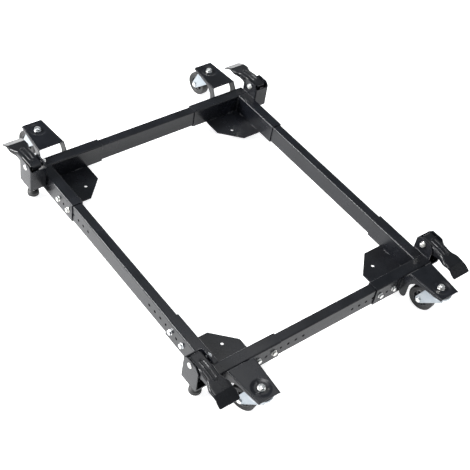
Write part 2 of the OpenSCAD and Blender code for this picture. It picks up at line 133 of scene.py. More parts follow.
studio_sky(0.27, 1.0)
soft_lamp("lamp_left_back", (-3.4, 2.4, 2.5), (0, 0.1, 0), (2.8, 0.8), 520)
soft_lamp("lamp_front_right", (2.4, -3.4, 2.5), (0, 0, 0), (2.6, 0.7), 22)
soft_lamp("lamp_front_left", (-2.9, -1.6, 2.2), (0, 0, 0), (2.0, 1.6), 12)
soft_lamp("lamp_over", (0.95, 0.85, 2.9), (-0.3, -0.4, 0), (1.1, 1.1), 8)
soft_lamp("lamp_top", (-0.1, -0.2, 3.3), (0, 0, 0), (0.9, 0.9), 38)
bpy.context.scene.view_settings.view_transform = "Standard"

# %% Lay the floor
def paper_material(name, colour, rough, glow):
    """Matt white paper that glows a little, as a lightbox does."""
    m = bpy.data.materials.new(name)
    m.use_nodes = True
    shader = m.node_tree.nodes["Principled BSDF"]
    shader.inputs["Base Color"].default_value = (*colour, 1)
    shader.inputs["Roughness"].default_value = rough
    shader.inputs["Emission Color"].default_value = (1, 1, 1, 1)
    shader.inputs["Emission Strength"].default_value = glow
    return m


floor_mesh = bpy.data.meshes.new("floor")
floor_mesh.from_pydata([(-9, -9, 0), (9, -9, 0), (9, 9, 0), (-9, 9, 0)], [], [(0, 1, 2, 3)])
floor = bpy.data.objects.new("floor", floor_mesh)
floor.location.z = -0.0005
bpy.context.scene.collection.objects.link(floor)
floor_mesh.materials.append(paper_material("pale_floor", (0.70, 0.70, 0.70), 0.9, 0.84))

# %% [markdown]
# ## Effects that finishes share
# Powder coat, zinc plate and rubber are different, but they share small
# effects: paint rubbed off at the edges, which also lightens convex edges as
# a painted highlight along each bend, dust that settles on what faces
# up, and a fine grain. Each effect is one node group with its own values in
# each material, so that a change to the wear and the painted edge highlight
# changes it everywhere.

# %% A short way to write node trees
class Tree:
    """Adds nodes by type name, sets plain values and links the rest."""

    def __init__(self, tree):
        self.tree = tree

    def add(self, kind, values=None, **props):
        node = self.tree.nodes.new("ShaderNode" + kind)
        for key, value in props.items():
            setattr(node, key, value)
        for key, value in (values or {}).items():
            if isinstance(value, bpy.types.NodeSocket):
                self.tree.links.new(value, node.inputs[key])
            else:
                node.inputs[key].default_value = value
        return node

    def math(self, operation, a, b=0.0):
        return self.add("Math", {0: a, 1: b}, operation=operation, use_clamp=True).outputs[0]

    def ramp(self, value, low, high, to_low=0.0, to_high=1.0):
        return self.add("MapRange", {"Value": value, "From Min": low, "From Max": high,
                                     "To Min": to_low, "To Max": to_high}).outputs[0]

    def mix(self, factor, a, b):
        node = self.add("Mix", data_type="RGBA")
        for socket, value in ((node.inputs[0], factor), (node.inputs[6], a), (node.inputs[7], b)):
            if isinstance(value, bpy.types.NodeSocket):
                self.tree.links.new(value, socket)
            else:
                socket.default_value = value
        return node.outputs[2]

    def noise(self, scale, detail=2.0, stretch=None):
        place = self.add("TexCoord").outputs["Object"]
        if stretch:
            place = self.add("Mapping", {"Vector": place, "Scale": stretch}).outputs[0]
        return self.add("TexNoise", {"Vector": place, "Scale": scale, "Detail": detail}).outputs["Fac"]


def effect_group(name, inputs, outputs):
    """A node group with named float inputs and outputs. Returns its Tree, input and output nodes."""
    group = bpy.data.node_groups.new(name, "ShaderNodeTree")
    for label, value in inputs:
        socket = group.interface.new_socket(label, in_out="INPUT", socket_type="NodeSocketFloat")
        socket.default_value = value
    for label in outputs:
        group.interface.new_socket(label, in_out="OUTPUT", socket_type="NodeSocketFloat")
    return Tree(group), group.nodes.new("NodeGroupInput"), group.nodes.new("NodeGroupOutput")


print("node helpers ready")

# %% Worn edges and painted edge highlights
# Convex-edge mask: paint rubbed through, and also a painted highlight where round edges would catch the
# light.
tree, given, out = effect_group("edge_wear_and_highlight", (("Width", 0.0008), ("Amount", 0.5), ("Patch Scale", 60.0)),
                                ("Mask",))
rounded = tree.add("Bevel", {"Radius": given.outputs["Width"]}, samples=4).outputs[0]
flat = tree.add("NewGeometry").outputs["Normal"]
turn = tree.add("VectorMath", {0: rounded, 1: flat}, operation="DOT_PRODUCT").outputs["Value"]
edge = tree.ramp(turn, 0.99, 0.86)
patches = tree.add("TexNoise", {"Vector": tree.add("TexCoord").outputs["Object"],
                                "Scale": given.outputs["Patch Scale"], "Detail": 4.0}).outputs["Fac"]
patchy = tree.math("MULTIPLY", edge, tree.ramp(patches, 0.38, 0.62))
tree.tree.links.new(tree.math("MULTIPLY", patchy, given.outputs["Amount"]), out.inputs["Mask"])
print("edge_wear_and_highlight:", [s.name for s in tree.tree.interface.items_tree])

# %% Settled dust and handling smudges
tree, given, out = effect_group("settled_dust", (("Amount", 0.3), ("Patch Scale", 9.0)), ("Mask",))
up = tree.add("SeparateXYZ", {0: tree.add("NewGeometry").outputs["Normal"]}).outputs["Z"]
patches = tree.add("TexNoise", {"Vector": tree.add("TexCoord").outputs["Object"],
                                "Scale": given.outputs["Patch Scale"], "Detail": 6.0}).outputs["Fac"]
lying = tree.math("MULTIPLY", tree.ramp(up, 0.2, 0.95), tree.ramp(patches, 0.35, 0.75))
tree.tree.links.new(tree.math("MULTIPLY", lying, given.outputs["Amount"]), out.inputs["Mask"])
print("settled_dust:", [s.name for s in tree.tree.interface.items_tree])

# %% Fine skin of paint, rubber or plating
tree, given, out = effect_group("fine_skin", (("Dimple Scale", 520.0), ("Grit Scale", 2600.0),
                                              ("Grit Share", 0.3)),
                                ("Height", "Tone"))
place = tree.add("TexCoord").outputs["Object"]
dimple = tree.add("TexNoise", {"Vector": place, "Scale": given.outputs["Dimple Scale"],
                               "Detail": 1.0}).outputs["Fac"]
grit = tree.add("TexNoise", {"Vector": place, "Scale": given.outputs["Grit Scale"],
                             "Detail": 2.0}).outputs["Fac"]
height = tree.add("Mix", {0: given.outputs["Grit Share"], 2: dimple, 3: grit}).outputs[0]
tone = tree.add("TexNoise", {"Vector": place, "Scale": 14.0, "Detail": 5.0}).outputs["Fac"]
tree.tree.links.new(height, out.inputs["Height"])
tree.tree.links.new(tone, out.inputs["Tone"])
print("fine_skin:", [s.name for s in tree.tree.interface.items_tree])

# %% [markdown]
# ## The finishes
# The frame is powder coated: a satin black skin with a fine orange peel,
# thinner and greyer where edges are knocked; this lighter edge grey is
# partly wear and partly a painted highlight along the bends. Paint is a
# plain dielectric, so its gloss comes from roughness alone and only a
# rubbed edge turns metallic. Zinc plate is a metal whose colour drifts from
# bluish to faintly warm and whose roughness changes where it was handled;
# its edges are painted brighter, as wear and as a painted highlight.

# %% Powder coat
def place_group(t, name, **values):
    return t.add("Group", {k.replace("_", " "): v for k, v in values.items()},
                 node_tree=bpy.data.node_groups[name])


def new_material(name):
    m = bpy.data.materials.new(name)
    m.use_nodes = True
    return m, Tree(m.node_tree), m.node_tree.nodes["Principled BSDF"]


def wire(t, shader, **sockets):
    for key, value in sockets.items():
        t.tree.links.new(value, shader.inputs[key.replace("_", " ")])


def bump(t, height, depth_mm, strength=0.6):
    return t.add("Bump", {"Height": height, "Distance": depth_mm * 0.001, "Strength": strength}).outputs[0]


def powder_coat(name, colour, rough, rub_and_highlight, dust):
    m, t, shader = new_material(name)
    skin = place_group(t, "fine_skin", Dimple_Scale=520.0, Grit_Scale=2400.0, Grit_Share=0.35)
    worn_and_lit_edges = place_group(t, "edge_wear_and_highlight", Width=0.0009, Amount=rub_and_highlight, Patch_Scale=70.0).outputs["Mask"]
    dusty = place_group(t, "settled_dust", Amount=dust, Patch_Scale=8.0).outputs["Mask"]
    deep = tuple(v * 0.78 for v in colour) + (1,)
    pale = tuple(v * 1.25 for v in colour) + (1,)
    paint = t.mix(t.ramp(skin.outputs["Tone"], 0.35, 0.65), deep, pale)
    dusted = t.mix(dusty, paint, (0.12, 0.115, 0.11, 1))
    # Edges turn lighter grey and partly metallic: rubbed paint, and a painted highlight along the bends.
    wire(t, shader, Base_Color=t.mix(worn_and_lit_edges, dusted, (0.30, 0.31, 0.33, 1)),
         Roughness=t.ramp(skin.outputs["Tone"], 0.3, 0.7, rough - 0.05, rough + 0.07),
         Metallic=t.math("MULTIPLY", worn_and_lit_edges, 0.7), Normal=bump(t, skin.outputs["Height"], 0.06))
    shader.inputs["Specular IOR Level"].default_value = 0.30
    return m


frame_coat = powder_coat("frame_powder_coat", (0.0048, 0.0054, 0.0074), 0.235, 0.45, 0.05)
rail_coat = powder_coat("rail_powder_coat", (0.0052, 0.0058, 0.0078), 0.22, 0.35, 0.04)
pedal_coat = powder_coat("pedal_powder_coat", (0.0042, 0.0046, 0.0060), 0.235, 0.15, 0.05)
print("powder coats:", frame_coat.name, rail_coat.name, pedal_coat.name)

# %% Zinc plate and spring steel
def zinc_plate(name, cool, warm, rough, grain):
    m, t, shader = new_material(name)
    skin = place_group(t, "fine_skin", Dimple_Scale=260.0, Grit_Scale=1800.0, Grit_Share=0.6)
    worn_and_lit_edges = place_group(t, "edge_wear_and_highlight", Width=0.0006, Amount=0.5, Patch_Scale=120.0).outputs["Mask"]
    dusty = place_group(t, "settled_dust", Amount=0.12, Patch_Scale=16.0).outputs["Mask"]
    brushed = t.noise(240.0, 3.0, grain)
    plate = t.mix(t.ramp(skin.outputs["Tone"], 0.38, 0.62), cool + (1,), warm + (1,))
    # Edges brighter: wear on the plating, and a painted highlight along the edges.
    bright = t.mix(worn_and_lit_edges, plate, tuple(min(1.0, v * 1.25) for v in warm) + (1,))
    wire(t, shader, Base_Color=t.mix(dusty, bright, (0.36, 0.35, 0.33, 1)),
         Roughness=t.ramp(brushed, 0.3, 0.7, rough - 0.06, rough + 0.09),
         Metallic=t.ramp(dusty, 0.0, 1.0, 1.0, 0.2), Normal=bump(t, skin.outputs["Height"], 0.02, 0.35))
    return m


bolt_zinc = zinc_plate("bolt_zinc", (0.80, 0.82, 0.84), (0.86, 0.85, 0.82), 0.26, (1, 1, 6))
fork_zinc = zinc_plate("fork_zinc", (0.31, 0.35, 0.385), (0.42, 0.445, 0.465), 0.36, (5, 1, 1))
spring_steel = zinc_plate("spring_steel", (0.42, 0.43, 0.45), (0.50, 0.49, 0.47), 0.34, (1, 1, 1))
print("metals:", bolt_zinc.name, fork_zinc.name, spring_steel.name)

# %% Rubber and moulded plastic
def moulded(name, colour, rough, pale, dust, dimples):
    m, t, shader = new_material(name)
    skin = place_group(t, "fine_skin", Dimple_Scale=dimples, Grit_Scale=1500.0, Grit_Share=0.5)
    scuffed_and_lit_edges = place_group(t, "edge_wear_and_highlight", Width=0.0016, Amount=0.55, Patch_Scale=45.0).outputs["Mask"]
    dusty = place_group(t, "settled_dust", Amount=dust, Patch_Scale=22.0).outputs["Mask"]
    body = t.mix(t.ramp(skin.outputs["Tone"], 0.35, 0.65), tuple(v * 0.8 for v in colour) + (1,),
                 colour + (1,))
    # Edges paler: scuffs, and a painted highlight on the rounded edges.
    wire(t, shader, Base_Color=t.mix(dusty, t.mix(scuffed_and_lit_edges, body, pale + (1,)), (0.16, 0.155, 0.15, 1)),
         Roughness=t.ramp(skin.outputs["Height"], 0.3, 0.7, rough - 0.07, rough + 0.07),
         Normal=bump(t, skin.outputs["Height"], 0.08))
    return m


tread_rubber = moulded("tread_rubber", (0.0075, 0.0075, 0.0082), 0.56, (0.035, 0.034, 0.033), 0.10, 700.0)
foot_rubber = moulded("foot_rubber", (0.007, 0.007, 0.0075), 0.52, (0.035, 0.035, 0.034), 0.08, 600.0)
hub_plastic = moulded("hub_plastic", (0.020, 0.021, 0.023), 0.42, (0.07, 0.07, 0.07), 0.06, 420.0)
print("rubber and plastic:", tread_rubber.name, foot_rubber.name, hub_plastic.name)

# %% [markdown]
# ## Ways of making a piece
# Every piece is drawn once for a corner, with x and y running outwards from
# the corner's outer edge, and then placed at all four corners. A corner on
# the left or the front is a mirror image, so its faces are turned over.
# Sheet metal is drawn as one skin with round bends and then thickened,
# which gives the soft highlight along a bend that real pressed sheet has.

# %% Place, shade and attach a piece
half_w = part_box("sleeve_fr")[1].x
half_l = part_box("sleeve_br")[1].y
low_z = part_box("sleeve_fl")[0].z
MM = 0.001


def at_corner(c):
    sx, sy = SIDE[c]
    return Matrix.Translation((sx * half_w, sy * half_l, 0)) @ Matrix.Diagonal((sx, sy, 1, 1))


def piece(name, bm, material, body, stands_for=(), place=None, sharp=32, weld=1e-6):
    """Turns a bmesh drawn in millimetres into a shaded object that rides on a body."""
    bmesh.ops.remove_doubles(bm, verts=bm.verts, dist=weld * 1000)
    bmesh.ops.scale(bm, vec=(MM, MM, MM), verts=bm.verts)
    if place is not None:
        bm.transform(place)
        if place.determinant() < 0:
            bmesh.ops.reverse_faces(bm, faces=bm.faces)
    limit = math.radians(sharp)
    for e in bm.edges:
        e.smooth = len(e.link_faces) == 2 and e.calc_face_angle(0) < limit
    for f in bm.faces:
        f.smooth = True
    mesh = bpy.data.meshes.new(name)
    bm.to_mesh(mesh)
    bm.free()
    mesh.materials.append(material)
    obj = bpy.data.objects.new(name, mesh)
    bpy.context.scene.collection.objects.link(obj)
    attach(obj, body)
    if stands_for:
        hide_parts(*stands_for)
    return obj


def modifier(obj, kind, **values):
    m = obj.modifiers.new(kind.lower(), kind)
    for key, value in values.items():
        setattr(m, key, value)
    return m


print("corner frame: half width", round(half_w, 4), "half length", round(half_l, 4))

# %% Draw with rings, lathes and filled outlines
def ring_faces(bm, a, b, closed=True):
    n = len(a)
    for i in range(n if closed else n - 1):
        j = (i + 1) % n
        bm.faces.new((a[i], a[j], b[j], b[i]))


def loft(bm, rings, closed=True, cap_start=False, cap_end=False):
    """Skins a list of point rings, all with the same number of points."""
    made = [[bm.verts.new(p) for p in r] for r in rings]
    for a, b in zip(made, made[1:]):
        ring_faces(bm, a, b, closed)
    if cap_start:
        bm.faces.new(list(reversed(made[0])))
    if cap_end:
        bm.faces.new(made[-1])
    return made


def lathe(profile, steps=64, matrix=None):
    """Turns (radius, height) points about Z. A radius of 0 closes the end."""
    bm = bmesh.new()
    rings = []
    for r, z in profile:
        if r < 1e-6:
            rings.append([bm.verts.new((0, 0, z))])
        else:
            rings.append([bm.verts.new((r * math.cos(2 * math.pi * k / steps),
                                        r * math.sin(2 * math.pi * k / steps), z)) for k in range(steps)])
    for a, b in zip(rings, rings[1:]):
        for k in range(steps):
            j = (k + 1) % steps
            if len(a) == 1 and len(b) > 1:
                bm.faces.new((a[0], b[j], b[k]))
            elif len(b) == 1 and len(a) > 1:
                bm.faces.new((a[k], a[j], b[0]))
            elif len(a) > 1:
                bm.faces.new((a[k], a[j], b[j], b[k]))
    if matrix is not None:
        bm.transform(matrix)
    return bm


def add(bm, other, matrix=None):
    """Copies another bmesh into this one and frees it."""
    if matrix is not None:
        other.transform(matrix)
        if matrix.determinant() < 0:
            bmesh.ops.reverse_faces(other, faces=other.faces)
    tmp = bpy.data.meshes.new("tmp")
    other.to_mesh(tmp)
    other.free()
    bm.from_mesh(tmp)
    bpy.data.meshes.remove(tmp)
    return bm


def circle2(cx, cy, r, n=32, start=0.0):
    return [(cx + r * math.cos(start + 2 * math.pi * k / n), cy + r * math.sin(start + 2 * math.pi * k / n))
            for k in range(n)]


def filled(bm, outer, holes, lift):
    """Fills an outline with holes. lift turns a flat point into a 3-D one."""
    pts = [Vector(p) for p in outer]
    loops = [list(range(len(outer)))]
    for h in holes:
        loops.append(list(range(len(pts), len(pts) + len(h))))
        pts += [Vector(p) for p in h]
    edges = [(l[i], l[(i + 1) % len(l)]) for l in loops for i in range(len(l))]
    out, _, faces, *_ = geometry.delaunay_2d_cdt(pts, edges, [], 0, 1e-7)
    inside = []
    for f in faces:
        c = sum((out[i] for i in f), Vector((0, 0))) / len(f)
        if in_outline(c, outer) and not any(in_outline(c, h) for h in holes):
            inside.append(f)
    verts = [bm.verts.new(lift(p[0], p[1])) for p in out]
    for f in inside:
        bm.faces.new([verts[i] for i in f])
    for v in verts:
        if not v.link_faces:
            bm.verts.remove(v)


def in_outline(p, outline):
    hit = False
    for i in range(len(outline)):
        (x1, y1), (x2, y2) = outline[i - 1], outline[i]
        if (y1 > p[1]) != (y2 > p[1]) and p[0] < (x2 - x1) * (p[1] - y1) / (y2 - y1) + x1:
            hit = not hit
    return hit


def rounded_box_ring(w, h, r, steps=5):
    """The outline of a rectangle with round corners, centred, counted once round."""
    out = []
    for cx, cy, a0 in ((w/2 - r, h/2 - r, 0), (-w/2 + r, h/2 - r, 90), (-w/2 + r, -h/2 + r, 180),
                       (w/2 - r, -h/2 + r, 270)):
        for k in range(steps + 1):
            a = math.radians(a0 + 90 * k / steps)
            out.append((cx + r * math.cos(a), cy + r * math.sin(a)))
    return out


def carve(obj, cutter_bm, place=None):
    """Cuts a bmesh of solids, in millimetres, out of an object and keeps the result as its mesh."""
    bmesh.ops.scale(cutter_bm, vec=(MM, MM, MM), verts=cutter_bm.verts)
    if place is not None:
        cutter_bm.transform(place)
        if place.determinant() < 0:
            bmesh.ops.reverse_faces(cutter_bm, faces=cutter_bm.faces)
    mesh = bpy.data.meshes.new("cutter")
    cutter_bm.to_mesh(mesh)
    cutter_bm.free()
    tool = bpy.data.objects.new("cutter", mesh)
    bpy.context.scene.collection.objects.link(tool)
    b = modifier(obj, "BOOLEAN", operation="DIFFERENCE", solver="EXACT")
    b.object = tool
    bpy.context.view_layer.update()
    cut = bpy.data.meshes.new_from_object(obj.evaluated_get(bpy.context.evaluated_depsgraph_get()))
    obj.modifiers.remove(b)
    bpy.data.objects.remove(tool)
    obj.data = cut
    bm = bmesh.new()
    bm.from_mesh(cut)
    bmesh.ops.recalc_face_normals(bm, faces=bm.faces)
    for e in bm.edges:
        e.smooth = len(e.link_faces) == 2 and e.calc_face_angle(0) < math.radians(32)
    for f in bm.faces:
        f.smooth = True
    bm.to_mesh(cut)
    bm.free()
    return obj


TURN_X = Matrix.Rotation(math.radians(90), 4, "Y")
TURN_Y = Matrix.Rotation(math.radians(-90), 4, "X")
print("drawing helpers ready")

# %% [markdown]
# ## The rails
# A rail is a length of rectangular steel tube. Tube is rolled, so its four
# long edges are round. One outline with round corners is drawn for the
# outside and one for the inside, both are stretched along the rail, and
# the two ends are joined by a rim. The setting holes are then cut through
# the outer wall, and only there, as they are punched before coating.

# %% Draw a tube
SLEEVE_WIDE, SLEEVE_HIGH, SLEEVE_WALL = 35.0, (top_z - low_z) * 1000, 2.5
ZB, ZT = low_z * 1000, top_z * 1000
RAIL_GAP, RAIL_WALL = 0.5, 2.0
RAIL_WIDE = SLEEVE_WIDE - 2 * (SLEEVE_WALL + RAIL_GAP)
RAIL_HIGH = SLEEVE_HIGH - 2 * (SLEEVE_WALL + RAIL_GAP)
HOLE_R, PITCH, FIRST_BOLT, RAIL_LAP = 4.2, 25.0, 19.0, 96.0


def tube(wide, high, wall, start, end, r_out=4.0, closed_end=False):
    """A tube along X from start to end, centred on Y and Z. A closed end gets a rounded cap."""
    bm = bmesh.new()
    outer = rounded_box_ring(wide, high, r_out)
    inner = rounded_box_ring(wide - 2 * wall, high - 2 * wall, max(r_out - wall, 0.8))
    rings = [[(x, y, z) for y, z in inner] for x in (end - wall if closed_end else end, start)]
    rings += [[(start, y, z) for y, z in outer]]
    if closed_end:
        rings += [[(end - 1.2, y, z) for y, z in outer]]
        for k in (30, 60, 90):
            a = math.radians(k)
            ring = rounded_box_ring(wide - 2.4 * (1 - math.cos(a)), high - 2.4 * (1 - math.cos(a)), r_out)
            rings.append([(end - 1.2 + 1.2 * math.sin(a), y, z) for y, z in ring])
        loft(bm, rings, cap_start=True, cap_end=True)
    else:
        rings += [[(end, y, z) for y, z in outer]]
        loft(bm, rings + rings[:1])
    bmesh.ops.remove_doubles(bm, verts=bm.verts, dist=1e-4)
    bmesh.ops.recalc_face_normals(bm, faces=bm.faces)
    return bm


def hole_cutters(spots, radius, depth):
    """Solid drills along Y, through the wall at y = 0."""
    bm = bmesh.new()
    for x, z in spots:
        add(bm, lathe([(0, -depth), (radius, -depth), (radius, depth), (0, depth)], 28,
                      Matrix.Translation((x, 0, z)) @ TURN_Y))
    return bm


print("sleeve", SLEEVE_WIDE, "x", round(SLEEVE_HIGH, 1), "rail", RAIL_WIDE, "x", round(RAIL_HIGH, 1), "mm")

# %% Make the four rails
HOLES_EACH_END = 7


def rail(name, turn, reach, across, sleeve_reach):
    half = reach - sleeve_reach + RAIL_LAP
    place = (Matrix.Rotation(math.radians(turn), 4, "Z")
             @ Matrix.Translation((0, -across + SLEEVE_WIDE / 2, (ZB + ZT) / 2)))
    bm = tube(RAIL_WIDE, RAIL_HIGH, RAIL_WALL, -half, half, r_out=3.5)
    place_m = Matrix.Diagonal((MM, MM, MM, 1)) @ place @ Matrix.Diagonal((1 / MM, 1 / MM, 1 / MM, 1))
    obj = piece(name, bm, rail_coat, "frame", (name,), place_m)
    first = half - RAIL_LAP + FIRST_BOLT + 2 * PITCH
    spots = [(s * (first - k * PITCH), 0) for s in (-1, 1) for k in range(HOLES_EACH_END)]
    cutters = hole_cutters(spots, HOLE_R, 4)
    cutters.transform(Matrix.Translation((0, -RAIL_WIDE / 2, 0)))
    carve(obj, cutters, place_m)
    modifier(obj, "WEIGHTED_NORMAL", keep_sharp=True, weight=80)
    return obj


SLEEVE_X, SLEEVE_Y = 205.0, 207.0
rails = [rail("rail_front", 0, half_w / MM, half_l / MM, SLEEVE_X),
         rail("rail_back", 180, half_w / MM, half_l / MM, SLEEVE_X),
         rail("rail_left", -90, half_l / MM, half_w / MM, SLEEVE_Y),
         rail("rail_right", 90, half_l / MM, half_w / MM, SLEEVE_Y)]
print("rails:", [(r.name, len(r.data.polygons)) for r in rails])

# %% [markdown]
# ## The corner sleeves
# Two lengths of larger tube make a corner. The one along the width runs
# right out to the corner and is capped, and the one along the length butts
# against its side. A welder runs a bead round that joint, and shorter
# stitches hold the corner plate. A bead is a row of overlapping puddles,
# so it is drawn as a half-round strip whose size swells at each puddle.

# %% A weld bead
def weld_bead(bm, start, end, side, up, size=2.4, puddle=2.6):
    """A half-round bead from start to end that bulges between the directions side and up."""
    start, end, side, up = (Vector(v) for v in (start, end, side, up))
    length = (end - start).length
    steps = max(int(length / 0.65), 6)
    rings = []
    for k in range(steps + 1):
        t = k / steps
        fade = min(1.0, 5.0 * t, 5.0 * (1 - t)) ** 0.5
        swell = size * fade * (0.86 + 0.14 * abs(math.sin(math.pi * length * t / puddle)))
        centre = start.lerp(end, t)
        ring = [centre + (side * math.cos(a) + up * math.sin(a)) * swell * (1 if 0 <= a <= 1.58 else 0.35)
                for a in (math.radians(d) for d in (-90, -30, 0, 22, 45, 68, 90, 120, 180))]
        rings.append(ring)
    loft(bm, rings, cap_start=True, cap_end=True)


print("weld bead helper ready")

# %% Make the sleeves
def sleeve(c):
    bm = tube(SLEEVE_WIDE, SLEEVE_HIGH, SLEEVE_WALL, -SLEEVE_X, 0, closed_end=True)
    bm.transform(Matrix.Translation((0, -SLEEVE_WIDE / 2, (ZB + ZT) / 2)))
    short = tube(SLEEVE_WIDE, SLEEVE_HIGH, SLEEVE_WALL, -SLEEVE_Y, -SLEEVE_WIDE)
    add(bm, short, Matrix.Translation((-SLEEVE_WIDE / 2, 0, (ZB + ZT) / 2))
        @ Matrix.Rotation(math.radians(90), 4, "Z"))
    bmesh.ops.recalc_face_normals(bm, faces=bm.faces)
    obj = piece("sleeve_" + c, bm, frame_coat, "frame", ("sleeve_" + c,), at_corner(c))
    along_x = hole_cutters([(-SLEEVE_X + FIRST_BOLT + k * PITCH, (ZB + ZT) / 2) for k in range(3)], HOLE_R, 4)
    along_y = hole_cutters([(-SLEEVE_Y + FIRST_BOLT + k * PITCH, (ZB + ZT) / 2) for k in range(3)], HOLE_R, 4)
    add(along_x, along_y, Matrix(((0, 1, 0, 0), (1, 0, 0, 0), (0, 0, 1, 0), (0, 0, 0, 1))))
    bmesh.ops.recalc_face_normals(along_x, faces=along_x.faces)
    carve(obj, along_x, at_corner(c))
    modifier(obj, "WEIGHTED_NORMAL", keep_sharp=True, weight=80)
    return obj


sleeves = [sleeve(c) for c in CORNERS]
print("sleeves:", [(s.name, len(s.data.polygons)) for s in sleeves])

# %% [markdown]
# ## The corner plates
# Each plate is cut from flat sheet, with one corner cut off and a hole for
# a bolt. An outline with a hole is filled with triangles, thickened, and
# its edges are softened as sheared and painted sheet is.

# %% Thicken a skin of sheet metal
def sheet_metal(name, bm, thick, material, body, stands_for, place, soft=0.5):
    """A skin drawn as the outer face of the sheet. It is thickened inwards and its edges softened."""
    bmesh.ops.remove_doubles(bm, verts=bm.verts, dist=0.01)
    bmesh.ops.recalc_face_normals(bm, faces=bm.faces)
    highest = max((f for f in bm.faces if abs(f.normal.z) > 0.9 or len(bm.faces) < 4),
                  key=lambda f: f.calc_center_median().z, default=bm.faces[0])
    if highest.normal.z < 0:
        bmesh.ops.reverse_faces(bm, faces=bm.faces)
    obj = piece(name, bm, material, body, stands_for, place)
    modifier(obj, "SOLIDIFY", thickness=thick * MM, offset=-1.0, use_even_offset=True)
    modifier(obj, "BEVEL", width=soft * MM, segments=2, limit_method="ANGLE", angle_limit=math.radians(50))
    modifier(obj, "WEIGHTED_NORMAL", keep_sharp=False, weight=80)
    return obj


print("sheet metal helper ready")

# %% Make the plates and their weld stitches
PLATE, PLATE_CUT, PLATE_THICK, PLATE_HOLE = 155.0, 60.0, 3.5, 106.5


def plate(c):
    bm = bmesh.new()
    s, cut, t = PLATE, PLATE_CUT, SLEEVE_WIDE
    outline = [(-t, -t), (-s, -t), (-s, -s + cut), (-s + cut, -s), (-t, -s)]
    filled(bm, outline, [circle2(-PLATE_HOLE, -PLATE_HOLE, 4.5, 40)], lambda x, y: (x, y, ZB + PLATE_THICK))
    return sheet_metal("plate_" + c, bm, PLATE_THICK, frame_coat, "frame", ("plate_" + c,),
                       at_corner(c))


def corner_welds(c):
    bm = bmesh.new()
    t, z = SLEEVE_WIDE, ZB + PLATE_THICK
    for a, b in ((44, 70), (112, 140)):
        weld_bead(bm, (-a, -t, z), (-b, -t, z), (0, -1, 0), (0, 0, 1))
        weld_bead(bm, (-t, -a, z), (-t, -b, z), (-1, 0, 0), (0, 0, 1))
    # round the butt joint of the two tubes
    weld_bead(bm, (-t - 0.2, -t, ZB + 4), (-t - 0.2, -t, ZT - 3), (-1, 0, 0), (0, -1, 0), 2.6)
    weld_bead(bm, (-3, -t + 0.4, ZT - 1.6), (-t + 3, -t + 0.4, ZT - 1.6), (0, -0.8, 0), (0, 0, 0.9), 2.0)
    weld_bead(bm, (-1.2, -t + 0.4, ZB + 4), (-1.2, -t + 0.4, ZT - 4), (0, -0.8, 0), (0.9, 0, 0), 2.0)
    # the caster arm's legs on the outer face
    for x in (-ARM_MID - ARM_BASE / 2 + 0.4, -ARM_MID + ARM_BASE / 2 - 0.4):
        out_x = 1 if x > -ARM_MID else -1
        weld_bead(bm, (x, 0, ZB + 3), (x, 0, ZT - 8), (out_x, 0, 0), (0, 1, 0), 2.2)
    # the pedal bracket on the other outer face
    weld_bead(bm, (0, -70, ZT), (0, -14, ZT), (-1, 0, 0), (0, 0, 1), 2.2)
    weld_bead(bm, (0, -BR_OUT, ZT - 4), (0, -BR_OUT, ZT - 34), (0, 1, 0), (1, 0, 0), 2.2)
    bmesh.ops.recalc_face_normals(bm, faces=bm.faces)
    return piece("welds_" + c, bm, frame_coat, "frame", (), at_corner(c), sharp=70)


# %% [markdown]
# ## The caster arms
# An arm is one pressed sheet: a flat top, two flanges bent down that grow
# into legs welded to the sleeve, and a shallow dish that seats the
# kingpin's washer. The skin is drawn in four connected parts. The dish is
# made of rings, so that its slope can follow a smooth curve.

# %% Sizes of the arm and the pedal bracket
ARM_MID, ARM_BASE, ARM_TIP, ARM_REACH, ARM_START = 63.0, 84.0, 66.0, 127.0, 13.0
ARM_THICK, ARM_UP, LEG_WIDE, LEG_DOWN = 3.0, 22.0, 22.0, 67.0
KING_OUT, DISH_R, DISH_DEPTH, BEND = 93.0, 29.0, 2.5, 5.0
BR_WIDE, BR_THICK, BR_IN, BR_OUT, BR_UP, BR_DOWN, BR_CUT = 50.0, 3.0, 72.0, 10.0, 46.0, 36.0, 13.0
WEB_SHORT = 14.0
DISH_HOLE, DISH_SLOPE, NUB_IN, NUB_OUT, NUB_UP = 5.4, 11.0, 15.5, 19.5, 0.9


def arm_half(y):
    return (ARM_BASE + (ARM_TIP - ARM_BASE) * (y - ARM_START) / (ARM_REACH - ARM_START)) / 2


def smooth_step(t):
    t = min(max(t, 0.0), 1.0)
    return t * t * (3 - 2 * t)


print("arm", ARM_BASE, "to", ARM_TIP, "mm wide, reach", ARM_REACH)

# %% Make the caster arms
def arm_flange(bm, side, stations):
    """One upright flange with its leg, from the bend down."""
    z1 = ARM_UP - BEND
    foot = -LEG_DOWN + LEG_WIDE / 2
    outline = [(y, z1) for y in stations]
    outline += [(ARM_REACH, ARM_UP - 6), (52, ARM_UP - 12), (44, ARM_UP - 15), (36, 2), (29, -5), (24, -12),
                (LEG_WIDE, -20), (LEG_WIDE, foot)]
    outline += [(LEG_WIDE / 2 * (1 + math.cos(a)), foot - LEG_WIDE / 2 * math.sin(a))
                for a in (math.radians(15 * k) for k in range(1, 12))]
    outline += [(0, foot), (0, -6)]
    filled(bm, outline, [], lambda y, z: (-ARM_MID + side * arm_half(y), y, ZT + z))


